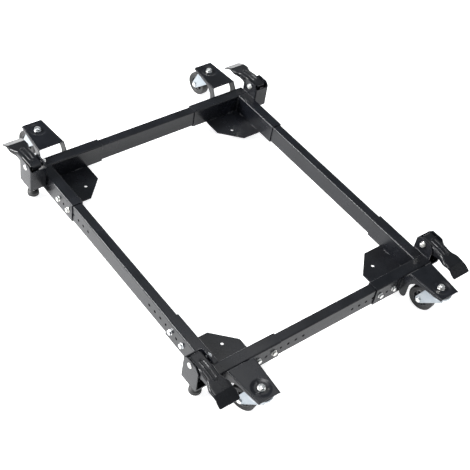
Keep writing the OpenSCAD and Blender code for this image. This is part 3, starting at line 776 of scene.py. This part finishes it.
def arm(c):
    bm = bmesh.new()
    stations = [ARM_START + (ARM_REACH - ARM_START) * k / 12 for k in range(13)]
    for side in (-1, 1):
        arm_flange(bm, side, stations)
        rings = []
        for y in stations:
            flat = arm_half(y) - BEND
            rings.append([(-ARM_MID + side * (flat + BEND * math.cos(a)), y,
                           ZT + ARM_UP - BEND + BEND * math.sin(a))
                          for a in (math.radians(15 * k) for k in range(7))])
        loft(bm, rings, closed=False)
    outline = [(-ARM_MID + arm_half(y) - BEND, y) for y in stations]
    outline += [(-ARM_MID - arm_half(y) + BEND, y) for y in reversed(stations)]
    filled(bm, outline, [circle2(-ARM_MID, KING_OUT, DISH_R, 60)], lambda x, y: (x, y, ZT + ARM_UP))
    rings = []
    for k in range(15):
        r = DISH_R - (DISH_R - DISH_HOLE) * k / 14
        drop = DISH_DEPTH * smooth_step((DISH_R - r) / DISH_SLOPE)
        nubs = NUB_UP if NUB_IN < r < NUB_OUT else 0.0
        ring = []
        for i, (x, y) in enumerate(circle2(-ARM_MID, KING_OUT, r, 60)):
            lift = nubs if i % 20 in (4, 5, 6) else 0.0
            ring.append((x, y, ZT + ARM_UP - drop + lift))
        rings.append(ring)
    loft(bm, rings)
    return sheet_metal("arm_" + c, bm, ARM_THICK, frame_coat, "frame", ("arm_" + c,), at_corner(c))


arms = [arm(c) for c in CORNERS]
plates = [plate(c) for c in CORNERS]
welds = [corner_welds(c) for c in CORNERS]
print("arms:", [a.name for a in arms], "plates:", len(plates), "weld sets:", len(welds))

# %% [markdown]
# ## The pedal brackets
# The bracket is a channel bent from sheet: two cheeks that carry the
# pedal's pin and a back web between them, with a bottom plate and a guide
# tube for the foot's stem welded inside. Its corners are cut so that the
# pedal can swing.

# %% Make the brackets
def bracket_cheek(bm, x, holes):
    back = -BR_IN + BEND
    slope = ZT + BR_UP - (BR_CUT - BEND) / BR_CUT * 14
    outline = [(back, ZT - BR_DOWN), (-BR_OUT, ZT - BR_DOWN), (-BR_OUT, ZT + BR_UP - WEB_SHORT),
               (-BR_OUT - BR_CUT, ZT + BR_UP), (-BR_IN + BR_CUT, ZT + BR_UP), (back, slope)]
    filled(bm, outline, holes, lambda y, z: (x, y, z))
    return slope


def bracket(c):
    bm = bmesh.new()
    pin = circle2(-PIN_IN, PIN_Z, 5.1, 32)
    for x, side in ((0.0, -1), (BR_WIDE, 1)):
        slope = bracket_cheek(bm, x, [pin])
        rings = []
        for k in range(7):
            a = math.radians(15 * k)
            bx = x - side * BEND * (1 - math.cos(a))
            by = -BR_IN + BEND - BEND * math.sin(a)
            top = slope + (ZT + BR_UP - WEB_SHORT - slope) * k / 6
            rings.append([(bx, by, ZT - BR_DOWN), (bx, by, top)])
        loft(bm, rings, closed=False)
    corners = [(BEND, -BR_IN, ZT - BR_DOWN), (BR_WIDE - BEND, -BR_IN, ZT - BR_DOWN),
               (BR_WIDE - BEND, -BR_IN, ZT + BR_UP - WEB_SHORT), (BEND, -BR_IN, ZT + BR_UP - WEB_SHORT)]
    bm.faces.new([bm.verts.new(p) for p in corners])
    bmesh.ops.remove_doubles(bm, verts=bm.verts, dist=0.01)
    bmesh.ops.recalc_face_normals(bm, faces=bm.faces)
    cheek = max(bm.faces, key=lambda f: f.calc_center_median().x)
    if cheek.normal.x < 0:
        bmesh.ops.reverse_faces(bm, faces=bm.faces)
    obj = piece("bracket_" + c, bm, frame_coat, "frame", ("bracket_" + c,), at_corner(c))
    modifier(obj, "SOLIDIFY", thickness=BR_THICK * MM, offset=-1.0, use_even_offset=True)
    modifier(obj, "BEVEL", width=0.5 * MM, segments=2, limit_method="ANGLE", angle_limit=math.radians(50))
    modifier(obj, "WEIGHTED_NORMAL", weight=80)
    return obj


def stem_guide(c):
    """The bottom plate and the tube welded in it."""
    bm = bmesh.new()
    z0, z1 = ZT - BR_DOWN, ZT - BR_DOWN + GUIDE_THICK
    x0, x1, y0, y1 = BR_THICK, BR_WIDE - BR_THICK, -BR_IN + BR_THICK, -BR_OUT
    hole = circle2(BR_WIDE / 2, -FOOT_IN, 8.0, 40)
    outline = [(x0, y0), (x1, y0), (x1, y1), (x0, y1)]
    filled(bm, outline, [hole], lambda x, y: (x, y, z1))
    lower = bmesh.new()
    filled(lower, outline, [hole], lambda x, y: (x, y, z0))
    add(bm, lower)
    loft(bm, [[(x, y, z0) for x, y in outline], [(x, y, z1) for x, y in outline]])
    tube_profile = [(6.1, z0), (6.1, z0 + 17.4), (6.7, z0 + 18), (9.0, z0 + 18), (9.5, z0 + 17.5),
                    (9.5, z1 + 1.4), (10.6, z1 + 0.5), (11.2, z1), (9.5, z0), (6.1, z0)]
    add(bm, lathe(tube_profile, 48, Matrix.Translation((BR_WIDE / 2, -FOOT_IN, 0))))
    bmesh.ops.recalc_face_normals(bm, faces=bm.faces)
    return piece("stem_guide_" + c, bm, frame_coat, "frame", (), at_corner(c))


pin_pos = Vector(JOINTS["pedal_press_fr"]["pos_m"])
PIN_IN, PIN_Z, FOOT_IN, GUIDE_THICK = (half_l + pin_pos.y) / MM, pin_pos.z / MM, 38.0, 4.0
brackets = [bracket(c) for c in CORNERS] + [stem_guide(c) for c in CORNERS]
print("brackets and guides:", len(brackets), "pin at height", round(PIN_Z, 1))

# %% [markdown]
# ## The pedals
# A pedal is pressed from one sheet: a sloping top whose two long edges roll
# over into flanges. The skin is built crosswise, one section at a time, and
# the flange grows deep at the pin and fades out at the tip. The raised loop
# is pressed up from below in the same stroke.

# %% Make the pedals
PEDAL_THICK, PEDAL_BEND, PEDAL_GAP = 3.0, 7.0, 2.0
PEDAL_TOP = ((-58, 133), (-10, 133), (58, 123), (88.6, 106))
FLANGE_DEEP = ((-58, 12), (-50, 20), (-43, 21.5), (-30, 24), (-15, 27.5), (-5, 24), (5, 19), (15, 18),
               (30, 13), (44, 8), (58, 4.5), (66, 1.5), (72, 0), (90, 0))
LOOP_WIDE, LOOP_UP, LOOP_RIB, LOOP_BACK, LOOP_FRONT = 12.5, 2.0, 3.2, -37.0, 25.0
BAR_Y, BAR_Z, BAR_R = -14.8, 111.7, 5.0
HEEL_BEND, HEEL_DROP = 4.0, 9.0


def along(points, y):
    """Read a broken line at y."""
    for (y0, v0), (y1, v1) in zip(points, points[1:]):
        if y <= y1:
            return v0 + (v1 - v0) * max(0.0, (y - y0) / (y1 - y0))
    return points[-1][1]


def top_height(y, blend=1.6):
    return sum(along(PEDAL_TOP, y + d) for d in (-blend, -blend / 2, 0, blend / 2, blend)) / 5


def pedal_half(y):
    base = BR_WIDE / 2 - BR_THICK - PEDAL_GAP
    return base + 10 * smooth_step((y - 15) / 29)


def tip_half(y):
    """The plan outline: parallel sides, then round corners at the tip."""
    a, end, r = pedal_half(y), 88.6, 4.0
    inside = y - (end - r)
    return a if inside <= 0 else a - r + math.sqrt(max(0.0, r * r - inside * inside))


def loop_rise(x, y):
    """Height of the raised loop at a point of the top."""
    y0, y1, r = LOOP_BACK + LOOP_WIDE / 2, LOOP_FRONT - LOOP_WIDE / 2, LOOP_WIDE / 2
    d = abs(math.hypot(x, y - min(max(y, y0), y1)) - r)
    edge = LOOP_RIB / 2 + 0.4
    return LOOP_UP * math.sqrt(max(0.0, 1 - (d / edge) ** 2)) if d < edge else 0.0


def pedal_section(y):
    """Points across the skin at y, from one flange's foot over the top to the other's."""
    a, z, deep = tip_half(y), top_height(y), along(FLANGE_DEEP, y)
    bend = PEDAL_BEND
    arc = math.acos(max(0.0, min(1.0, 1 - deep / bend)))
    flat = a - bend * math.sin(arc)
    side = []
    for k in range(9):
        t = arc * k / 8
        side.append((flat + bend * math.sin(t), z - bend * (1 - math.cos(t))))
    drop = max(0.0, deep - bend)
    side += [(side[-1][0], side[-1][1] - drop * k / 3) for k in (1, 2, 3)]
    inner_half = min(flat, 11.0)
    middle = [-inner_half + 2 * inner_half * k / 36 for k in range(37)]
    between = [inner_half + (flat - inner_half) * k / 3 for k in (1, 2)]
    row = [(-x, y, zz) for x, zz in reversed(side)] + [(-x, y, z) for x in reversed(between)]
    row += [(x, y, z + loop_rise(x, y)) for x in middle]
    return row + [(x, y, z) for x in between] + [(x, y, zz) for x, zz in side]


def pedal(c):
    place = at_corner(c)
    bm = bmesh.new()
    ys = sorted({-58 + 1.3 * k for k in range(16)} | {LOOP_BACK - 1.5 + 0.55 * k for k in range(120)}
                | {30 + 2.0 * k for k in range(23)} | {57 + 0.7 * k for k in range(6)}
                | {88.6 - 4 + 4 * math.sin(math.radians(9 * k)) for k in range(10)} | {88.55})
    ys = [y for y in ys if y < 88.58]
    rows = [[(x + BR_WIDE / 2, yy, z) for x, yy, z in pedal_section(y)] for y in ys]
    loft(bm, rows, closed=False)
    edge = rows[0][11:-11]
    heel = [[(x, y - HEEL_BEND * math.sin(a), z - HEEL_BEND * (1 - math.cos(a))) for x, y, z in edge]
            for a in (math.radians(22.5 * k) for k in range(5))]
    heel.append([(x, y, z - HEEL_DROP) for x, y, z in heel[-1]])
    loft(bm, heel, closed=False)
    bmesh.ops.remove_doubles(bm, verts=bm.verts, dist=0.002)
    bmesh.ops.recalc_face_normals(bm, faces=bm.faces)
    if sum(f.normal.z * f.calc_area() for f in bm.faces) < 0:
        bmesh.ops.reverse_faces(bm, faces=bm.faces)
    skin = piece("pedal_" + c, bm, pedal_coat, "pedal_" + c, ("pedal_" + c,), place,
                 sharp=50)
    modifier(skin, "SOLIDIFY", thickness=PEDAL_THICK * MM, offset=-1.0, use_even_offset=True)
    modifier(skin, "BEVEL", width=0.5 * MM, segments=2, limit_method="ANGLE", angle_limit=math.radians(60))
    a = BR_WIDE / 2 - BR_THICK - PEDAL_GAP
    bar = lathe([(0, -a + 0.6), (BAR_R - 0.4, -a + 0.6), (BAR_R, -a + 1), (BAR_R, a - 1),
                 (BAR_R - 0.4, a - 0.6), (0, a - 0.6)], 32,
                Matrix.Translation((BR_WIDE / 2, BAR_Y, BAR_Z)) @ TURN_X)
    bar = piece("pedal_bar_" + c, bar, pedal_coat, "pedal_" + c, (), place)
    return skin, bar


pedals = [pedal(c) for c in CORNERS]
print("pedals:", [p[0].name for p in pedals], "tip height", round(top_height(88.6), 1))

# %% [markdown]
# ## Bolts, nuts and pins
# A forged hex head has flat sides and a cone on top. Both come from one
# formula: each point of a turned ring is pushed out to the hexagon, but
# never further than the cone allows. The arcs where they cut each other
# appear by themselves, as they do when the head is machined.

# %% Draw a hex head and a threaded end
def hex_radius(flats, angle):
    a = (math.degrees(angle) + 30) % 60 - 30
    return flats / 2 / math.cos(math.radians(a))


def hex_head(flats, high, bore=0.0, both_ends=False, steps=72):
    """A hex head or nut standing on z = 0, with a chamfered top, and a bore if it is a nut."""
    corner = flats / math.sqrt(3)
    cone = 0.58
    levels = []
    low_cut = [(corner - flats / 2 * 0.96) * k / 3 for k in range(3, -1, -1)] if both_ends else [0.0]
    for cut in low_cut:
        levels.append((cone * ((corner - flats / 2 * 0.96) - cut) if both_ends else 0.0, corner - cut))
    for k in range(5):
        cut = (corner - flats / 2 * 0.94) * k / 4
        levels.append((high - cone * ((corner - flats / 2 * 0.94) - cut), corner - cut))
    rings = []
    for z, limit in levels:
        rings.append([(min(hex_radius(flats, a), limit) * math.cos(a),
                       min(hex_radius(flats, a), limit) * math.sin(a), z)
                      for a in (2 * math.pi * k / steps for k in range(steps))])
    bm = bmesh.new()
    if bore:
        for z, r in ((high, bore + 0.6), (high - 0.6, bore), (0.6, bore), (0.0, bore + 0.6)):
            rings.append([(r * math.cos(2 * math.pi * k / steps), r * math.sin(2 * math.pi * k / steps), z)
                          for k in range(steps)])
        loft(bm, rings + rings[:1])
        bmesh.ops.remove_doubles(bm, verts=bm.verts, dist=1e-5)
    else:
        loft(bm, rings, cap_start=True, cap_end=True)
    bmesh.ops.recalc_face_normals(bm, faces=bm.faces)
    return bm


def thread_profile(r, z0, z1, pitch, depth):
    """Points of a threaded shank from z0 up to z1, with a chamfered end."""
    points = [(r, z0)]
    z = z0
    while z + pitch < z1 - depth:
        points += [(r, z + pitch * 0.12), (r - depth, z + pitch * 0.5), (r, z + pitch * 0.88)]
        z += pitch
    return points + [(r, z1 - depth), (r - depth * 1.2, z1), (0, z1)]


def washer_profile(r_in, r_out, z0, z1, edge=0.35):
    return [(r_in, z0), (r_in, z1 - edge / 2), (r_in + edge / 2, z1), (r_out - edge, z1), (r_out, z1 - edge),
            (r_out, z0 + edge / 2), (r_out - edge / 2, z0), (r_in, z0)]


def domed(r, high, z, rise, steps=5):
    """The rim and the domed top of a head that sits on z and is high at its rim."""
    points = [(r - 0.4, z), (r, z + 0.4), (r, z + high)]
    for k in range(1, steps + 1):
        a = math.radians(90 * k / steps)
        points.append((r * math.cos(a) if k < steps else 0, z + high + rise * math.sin(a)))
    return points


print("fastener helpers ready")

# %% Make the setting bolts and their nuts
BOLT_R, BOLT_FLATS, BOLT_HEAD = 4.0, 13.0, 5.3


def setting_places():
    for c in CORNERS:
        for k in (0, 2):
            x = -SLEEVE_X + FIRST_BOLT + k * PITCH
            y = -SLEEVE_Y + FIRST_BOLT + k * PITCH
            mid = (ZB + ZT) / 2
            yield (at_corner(c), Matrix.Translation((x, 0, mid))
                   @ Matrix.Rotation(math.radians(-90), 4, "X"), 7 * k + 11)
            yield (at_corner(c), Matrix.Translation((0, y, mid))
                   @ Matrix.Rotation(math.radians(90), 4, "Y"), 5 * k + 23)


def in_metres(place):
    return place @ Matrix.Diagonal((MM, MM, MM, 1))


heads, nuts = bmesh.new(), bmesh.new()
for corner, spot, twist in setting_places():
    stand = in_metres(corner) @ spot @ Matrix.Rotation(math.radians(twist * 3), 4, "Z")
    add(heads, lathe(washer_profile(BOLT_R + 0.2, 8.4, 0, 1.6), 40), stand)
    add(heads, hex_head(BOLT_FLATS, BOLT_HEAD), stand @ Matrix.Translation((0, 0, 1.6)))
    shank = [(0, 0)] + thread_profile(BOLT_R, 0.0, 13.5, 1.25, 0.55)
    add(heads, lathe(shank, 28), stand @ Matrix.Rotation(math.pi, 4, "X"))
    add(nuts, hex_head(BOLT_FLATS, 6.5, bore=3.6, both_ends=True), stand @ Matrix.Translation((0, 0, -11.5)))
for bm in (heads, nuts):
    bmesh.ops.scale(bm, vec=(1 / MM,) * 3, verts=bm.verts)
    bmesh.ops.recalc_face_normals(bm, faces=bm.faces)
setting_bolts = piece("setting_bolts", heads, bolt_zinc, "frame", ("rail_bolts",))
piece("setting_nuts", nuts, bolt_zinc, "frame", ("rail_nuts",))
print("setting bolts:", len(setting_bolts.data.polygons), "faces")

# %% Make the kingpins with their washers, nuts and races
king_z = ZT + ARM_UP - DISH_DEPTH
KING_R = 5.0
RACE_R, RACE_Z, CROWN_R = 28.0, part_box("upper_races")[0].z / MM, 34.0
CROWN_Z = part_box("fork_fl")[1].z / MM
BALL_Z = RACE_Z - 1.1
KING_NUT_Z = CROWN_Z - 12.3


def caster_frame(c):
    """The place of a caster: its kingpin on the floor plane, with +x trailing towards the wheel."""
    pin = Vector(JOINTS["swivel_" + c]["pos_m"])
    away = Vector(JOINTS["wheel_spin_" + c]["pos_m"]) - pin
    heading = math.atan2(away.y, away.x)
    return Matrix.Translation((pin.x, pin.y, 0)) @ Matrix.Rotation(heading, 4, "Z"), away.xy.length / MM


def kingpin_set(kind, stand_for, material, draw):
    bm = bmesh.new()
    for c in CORNERS:
        add(bm, draw(), in_metres(caster_frame(c)[0]))
    bmesh.ops.scale(bm, vec=(1 / MM,) * 3, verts=bm.verts)
    bmesh.ops.recalc_face_normals(bm, faces=bm.faces)
    return piece(kind, bm, material, "frame", (stand_for,))


def draw_kingpin():
    bm = lathe([(0, CROWN_Z - 14.5), (4.2, CROWN_Z - 14.5)]
               + [(KING_R, CROWN_Z - 13.6), (KING_R, king_z + 3)], 40)
    add(bm, hex_head(16, 5.2), Matrix.Translation((0, 0, king_z + 2.5)) @ Matrix.Rotation(0.4, 4, "Z"))
    add(bm, lathe([(3.6, king_z + 7.6), (3.6, king_z + 8.2), (3.0, king_z + 8.6), (0, king_z + 8.7)], 32))
    return bm


def draw_king_washer():
    bm = lathe(washer_profile(KING_R, 10.0, king_z, king_z + 1.6), 56)
    add(bm, lathe(washer_profile(KING_R, 8.4, king_z + 1.6, king_z + 2.5, 0.25), 48))
    return bm


def draw_upper_race():
    z = RACE_Z
    return lathe([(KING_R + 0.1, z + 4), (KING_R + 0.1, z + 0.4), (12, z + 0.2), (RACE_R - 8.4, z),
                  (RACE_R - 7.2, z + 1.2), (RACE_R - 5.5, z + 1.7), (RACE_R - 3.8, z + 1.2),
                  (RACE_R - 2.6, z), (RACE_R - 1.0, z), (RACE_R, z + 0.8), (RACE_R, z + 3),
                  (RACE_R - 1.2, z + 4), (KING_R + 0.1, z + 4)], 72)


def draw_balls():
    bm = bmesh.new()
    track = RACE_R - 5.5
    count = int(2 * math.pi * track / 5.6)
    for k in range(count):
        ball = bmesh.new()
        bmesh.ops.create_uvsphere(ball, u_segments=20, v_segments=12, radius=2.5)
        add(bm, ball, Matrix.Rotation(2 * math.pi * k / count, 4, "Z")
            @ Matrix.Translation((track, 0, BALL_Z)))
    return bm


kingpin_set("kingpins", "kingpins", bolt_zinc, draw_kingpin)
kingpin_set("kingpin_washers", "kingpin_washers", bolt_zinc, draw_king_washer)
kingpin_set("kingpin_nuts", "kingpin_nuts", bolt_zinc, lambda: add(
    bmesh.new(), hex_head(16, 8, bore=4.6, both_ends=True), Matrix.Translation((0, 0, KING_NUT_Z))))
kingpin_set("upper_races", "upper_races", fork_zinc, draw_upper_race)
swivel_balls = kingpin_set("swivel_balls", "swivel_balls", bolt_zinc, draw_balls)
print("kingpin set at heights", round(king_z, 1), round(RACE_Z, 1), round(CROWN_Z, 1))

# %% Make the pedal pins
def pedal_pin(c):
    bm = lathe([(0, -11), (4.2, -11), (5, -10.2), (5, -8.6), (4.4, -8.4), (4.4, -7.4), (5, -7.2),
                (5, BR_WIDE + 3)], 40)
    add(bm, lathe([(5, BR_WIDE)] + domed(8, 1.6, BR_WIDE, 2.0), 48))
    add(bm, lathe(washer_profile(5, 8.4, -2.2, -0.2), 40))
    add(bm, lathe(washer_profile(4.4, 7.2, -8.4, -7.4, 0.2), 36))
    bm.transform(Matrix.Translation((0, -PIN_IN, PIN_Z)) @ TURN_X)
    return in_metres(at_corner(c)), bm


bm = bmesh.new()
for c in CORNERS:
    place, pin_bm = pedal_pin(c)
    add(bm, pin_bm, place)
bmesh.ops.scale(bm, vec=(1 / MM,) * 3, verts=bm.verts)
bmesh.ops.recalc_face_normals(bm, faces=bm.faces)
pedal_pins = piece("pedal_pins", bm, bolt_zinc, "frame", ("pedal_pins",))
print("pedal pins:", len(pedal_pins.data.polygons), "faces")

# %% [markdown]
# ## The casters
# The fork is pressed from one blank: a round crown with a track for the
# balls, and two legs that narrow to the axle. The crown is turned from a
# profile. Each leg is the outline of a cord pulled tight round the crown's
# edge and the axle's boss, which is what a press tool is cut to.

# %% Make the forks and axles
WHEEL_R = JOINTS["wheel_spin_fl"]["pos_m"][2] / MM
WHEEL_WIDE, FORK_THICK, FORK_GAP, AXLE_R, BOSS_R = 24.0, 2.5, 1.5, 4.0, 12.0
LEG_OUT = WHEEL_WIDE / 2 + FORK_GAP + FORK_THICK


def leg_outline(trail):
    top = CROWN_Z - 3.5
    points = [(-RACE_R + 3, top), (RACE_R - 1, top), (-RACE_R + 3, CROWN_Z - 18), (-RACE_R + 6, CROWN_Z - 21)]
    points += circle2(trail, WHEEL_R, BOSS_R, 40)
    return [points[i] for i in geometry.convex_hull_2d(points)]


def fork(c):
    place, trail = caster_frame(c)
    bm = bmesh.new()
    for side in (-1, 1):
        outer = leg_outline(trail)
        filled(bm, outer, [circle2(trail, WHEEL_R, 10.5, 40)], lambda x, z: (x, side * LEG_OUT, z))
        # a low pressed boss round the axle
        rings = []
        for r, rise in ((10.5, 0.0), (9.6, 0.5), (8.6, 0.8), (7.4, 0.8), (AXLE_R + 0.3, 0.8)):
            rings.append([(x, side * (LEG_OUT + rise), z) for x, z in circle2(trail, WHEEL_R, r, 40)])
        loft(bm, rings)
    bmesh.ops.remove_doubles(bm, verts=bm.verts, dist=0.01)
    bmesh.ops.recalc_face_normals(bm, faces=bm.faces)
    for island_side in (-1, 1):
        faces = [f for f in bm.faces if f.calc_center_median().y * island_side > 0]
        if faces[0].normal.y * island_side < 0:
            bmesh.ops.reverse_faces(bm, faces=faces)
    legs = piece("fork_" + c, bm, fork_zinc, "swivel_" + c, ("fork_" + c,), place)
    modifier(legs, "SOLIDIFY", thickness=FORK_THICK * MM, offset=-1.0)
    modifier(legs, "BEVEL", width=0.5 * MM, segments=2, limit_method="ANGLE", angle_limit=math.radians(50))
    z = CROWN_Z
    crown = lathe([(KING_R + 0.1, z), (9, z), (RACE_R - 9, z - 0.2), (RACE_R - 7.4, z - 0.6),
                   (RACE_R - 5.5, z - 1.6), (RACE_R - 3.6, z - 0.6), (RACE_R - 2.0, z - 0.1),
                   (CROWN_R - 2.4, z - 0.1), (CROWN_R - 0.8, z - 0.7), (CROWN_R, z - 2.0),
                   (CROWN_R, z - 6.5), (CROWN_R - 0.6, z - 7), (CROWN_R - 1.8, z - 6.6),
                   (CROWN_R - 2.2, z - 4.2), (CROWN_R - 3.4, z - 3.4), (12, z - 4),
                   (KING_R + 0.1, z - 4), (KING_R + 0.1, z)], 88)
    crown_piece = piece("fork_crown_" + c, crown, fork_zinc, "swivel_" + c, (), place)
    return legs, crown_piece


def axle(c):
    place, trail = caster_frame(c)
    y1 = LEG_OUT + 0.8
    bm = lathe([(0, -y1 - 6.4)] + [(AXLE_R - 0.5, -y1 - 6.4), (AXLE_R, -y1 - 5.8), (AXLE_R, y1)], 32)
    add(bm, hex_head(13, 5), Matrix.Translation((0, 0, y1)))
    add(bm, lathe([(3.4, y1 + 4.9), (3.0, y1 + 5.2), (0, y1 + 5.2)], 28))
    nut = hex_head(13, 5.4, bore=3.7, both_ends=True)
    add(bm, nut, Matrix.Translation((0, 0, -y1)) @ Matrix.Rotation(math.pi, 4, "X"))
    bmesh.ops.recalc_face_normals(bm, faces=bm.faces)
    bm.transform(Matrix.Translation((trail, 0, WHEEL_R)) @ TURN_Y)
    return piece("axle_" + c, bm, bolt_zinc, "swivel_" + c, ("axle_" + c,), place)


forks = [fork(c) for c in CORNERS]
for c in CORNERS:
    axle(c)
print("forks:", [f[0].name for f in forks], "trail", round(caster_frame("fl")[1], 1))

# %% [markdown]
# ## The wheels
# The tread is moulded rubber with round shoulders and a thin seam left in
# the middle by the mould's two halves. The hub is moulded plastic: a rim, a
# boss and six ribs in a hollow on each side, because a thick solid hub
# would sink as it cooled.

# %% Make the treads and hubs
HUB_R = 0.66 * WHEEL_R


def tread(c):
    place, trail = caster_frame(c)
    w, r = WHEEL_WIDE / 2, WHEEL_R
    half = [(HUB_R + 0.05, w - 3.0), (HUB_R + 0.6, w - 2.4), (r - 9, w - 1.4), (r - 8.4, w - 1.7),
            (r - 7.8, w - 1.3), (r - 6, w - 0.2), (r - 5, w)]
    half += [(r - 4.2 + 4.2 * math.sin(a), w - 4.6 + 4.6 * math.cos(a))
             for a in (math.radians(12 * k) for k in range(1, 8))]
    half += [(r, w - 6.2), (r, 0.35)]
    profile = half + [(r, 0.0)] + [(a, -b) for a, b in reversed(half)] + [half[0]]
    bm = lathe(profile, 112, Matrix.Translation((trail, 0, WHEEL_R)) @ TURN_Y)
    bmesh.ops.recalc_face_normals(bm, faces=bm.faces)
    return piece("tyre_" + c, bm, tread_rubber, "wheel_" + c, ("tyre_" + c,), place)


def hub(c):
    place, trail = caster_frame(c)
    w, rim, boss, web, rib_half = WHEEL_WIDE / 2, HUB_R, 9.0, 3.2, 1.1
    half = [(AXLE_R + 0.1, w - 0.2), (boss - 0.5, w - 0.2), (boss, w - 0.8), (boss + 0.5, web + 0.8),
            (boss + 1.5, web), (rim - 4.4, web), (rim - 3.4, web + 0.8), (rim - 2.8, w - 3.2),
            (rim - 2.3, w - 2.6), (rim - 0.5, w - 2.6), (rim, w - 3.1)]
    profile = half + [(a, -b) for a, b in reversed(half)] + [half[0]]
    bm = lathe(profile, 72)
    for side in (-1, 1):
        for k in range(6):
            rib = bmesh.new()
            outline = [(boss - 0.5, web - 0.2), (rim - 2.6, web - 0.2), (rim - 2.6, w - 3.6),
                       (boss - 0.5, w - 1.4)]
            loft(rib, [[(x, y, z * side) for x, z in outline] for y in (-rib_half, rib_half)],
                 cap_start=True, cap_end=True)
            bmesh.ops.recalc_face_normals(rib, faces=rib.faces)
            add(bm, rib, Matrix.Rotation(math.radians(60 * k + 15), 4, "Z"))
    bmesh.ops.recalc_face_normals(bm, faces=bm.faces)
    bm.transform(Matrix.Translation((trail, 0, WHEEL_R)) @ TURN_Y)
    return piece("hub_" + c, bm, hub_plastic, "wheel_" + c, ("hub_" + c,), place)


wheels = [(tread(c), hub(c)) for c in CORNERS]
print("wheels:", len(wheels), "radius", round(WHEEL_R, 1), "mm")

# %% [markdown]
# ## Feet and springs
# Each foot is a threaded stem with a lock nut, a cap that the pedal's bar
# presses on, and a rubber disc. The return spring is a coil drawn as a
# round wire that follows a helix, with its end turns closed up. It rides on
# the frame.

# %% Make the stems, caps and rubber feet
STEM_R, FOOT_R, CAP_Z = 6.0, 17.0, BAR_Z - BAR_R - 0.86
FOOT_LOW, FOOT_TOP = 8.0, 25.0


def stem(c):
    bm = lathe([(0, 19)] + thread_profile(STEM_R, 19, CAP_Z - 4, 1.75, 0.9)[:-2]
               + [(STEM_R - 0.4, CAP_Z - 3), (0, CAP_Z - 3)], 40)
    add(bm, hex_head(18, 5, bore=5.6, both_ends=True),
        Matrix.Translation((0, 0, FOOT_TOP)) @ Matrix.Rotation(0.3, 4, "Z"))
    shift = Matrix.Translation((BR_WIDE / 2, -FOOT_IN, 0))
    bm.transform(shift)
    cap = bmesh.new()
    ring = [(x + BR_WIDE / 2, y - 29.6) for x, y in rounded_box_ring(28, 43.6, 5)]
    loft(cap, [[(x, y, z) for x, y in ring] for z in (CAP_Z - 3, CAP_Z)], cap_start=True, cap_end=True)
    bmesh.ops.recalc_face_normals(cap, faces=cap.faces)
    cap_plate = piece("foot_cap_" + c, cap, pedal_coat, "foot_" + c, (), at_corner(c))
    modifier(cap_plate, "BEVEL", width=0.5 * MM, segments=2, limit_method="ANGLE",
             angle_limit=math.radians(60))
    bmesh.ops.recalc_face_normals(bm, faces=bm.faces)
    obj = piece("stem_" + c, bm, bolt_zinc, "foot_" + c, ("stem_" + c,), at_corner(c))
    modifier(obj, "BEVEL", width=0.4 * MM, segments=2, limit_method="ANGLE", angle_limit=math.radians(80))
    return obj


def rubber_foot(c):
    r, lo, hi = FOOT_R, FOOT_LOW, FOOT_TOP
    profile = [(0, lo + 1), (5, lo + 1), (6, lo + 0.2), (8, lo + 0.2), (9, lo + 1), (12, lo + 1),
               (13, lo + 0.2), (r - 1.5, lo), (r - 0.4, lo + 0.4), (r, lo + 1.5), (r, lo + 4.5),
               (r - 0.8, lo + 5), (r - 0.8, lo + 6), (r, lo + 6.5), (r - 0.3, hi - 6),
               (r - 1.2, hi - 5), (r - 4, hi - 1.2), (r - 5, hi - 0.3), (r - 6.5, hi), (0, hi)]
    bm = lathe(profile, 64, Matrix.Translation((BR_WIDE / 2, -FOOT_IN, 0)))
    bmesh.ops.recalc_face_normals(bm, faces=bm.faces)
    return piece("rubber_foot_" + c, bm, foot_rubber, "foot_" + c, ("foot_" + c,), at_corner(c))


stems = [stem(c) for c in CORNERS]
feet = [rubber_foot(c) for c in CORNERS]
print("stems and feet:", len(stems), len(feet), "cap height", round(CAP_Z, 1))

# %% Wind the springs
GUIDE_TOP = ZT - BR_DOWN + 18.0


def coil(low, high, radius, wire_r, turns, steps=36):
    """A round wire on a helix between two heights, with closed end turns."""
    bm = bmesh.new()
    rings, count = [], int(turns * steps)
    pitch = (high - low - 4 * wire_r) / (turns - 2)
    z, closed = low + wire_r, 2 * wire_r
    for k in range(count + 1):
        t = k / steps
        rise = (pitch * min(1.0, max(0.0, min(t - 0.5, turns - 0.5 - t) / 0.5))
                if 0.5 < t < turns - 0.5 else 0.0)
        z += (rise + (closed if rise == 0.0 else 0.0) * 0.5) / steps
        a = 2 * math.pi * t
        centre = Vector((radius * math.cos(a), radius * math.sin(a), z))
        out = Vector((math.cos(a), math.sin(a), 0))
        rings.append([tuple(centre + out * wire_r * math.cos(b) + Vector((0, 0, 1)) * wire_r * math.sin(b))
                      for b in (2 * math.pi * j / 10 for j in range(10))])
    loft(bm, rings, cap_start=True, cap_end=True)
    span = [v.co.z for v in bm.verts]
    squeeze = (high - low) / (max(span) - min(span))
    for v in bm.verts:
        v.co.z = low + (v.co.z - min(span)) * squeeze
    bmesh.ops.recalc_face_normals(bm, faces=bm.faces)
    return bm


spring_low, spring_high = GUIDE_TOP, CAP_Z - 3.0


def spring(c):
    bm = coil(spring_low, spring_high, 7.6, 1.0, 7)
    bm.transform(Matrix.Translation((BR_WIDE / 2, -FOOT_IN, 0)))
    obj = piece("spring_" + c, bm, spring_steel, "frame", ("spring_" + c,), at_corner(c))
    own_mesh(obj)
    return obj


springs = [spring(c) for c in CORNERS]
print("springs:", len(springs), "free length", round(spring_high - spring_low, 1), "mm")
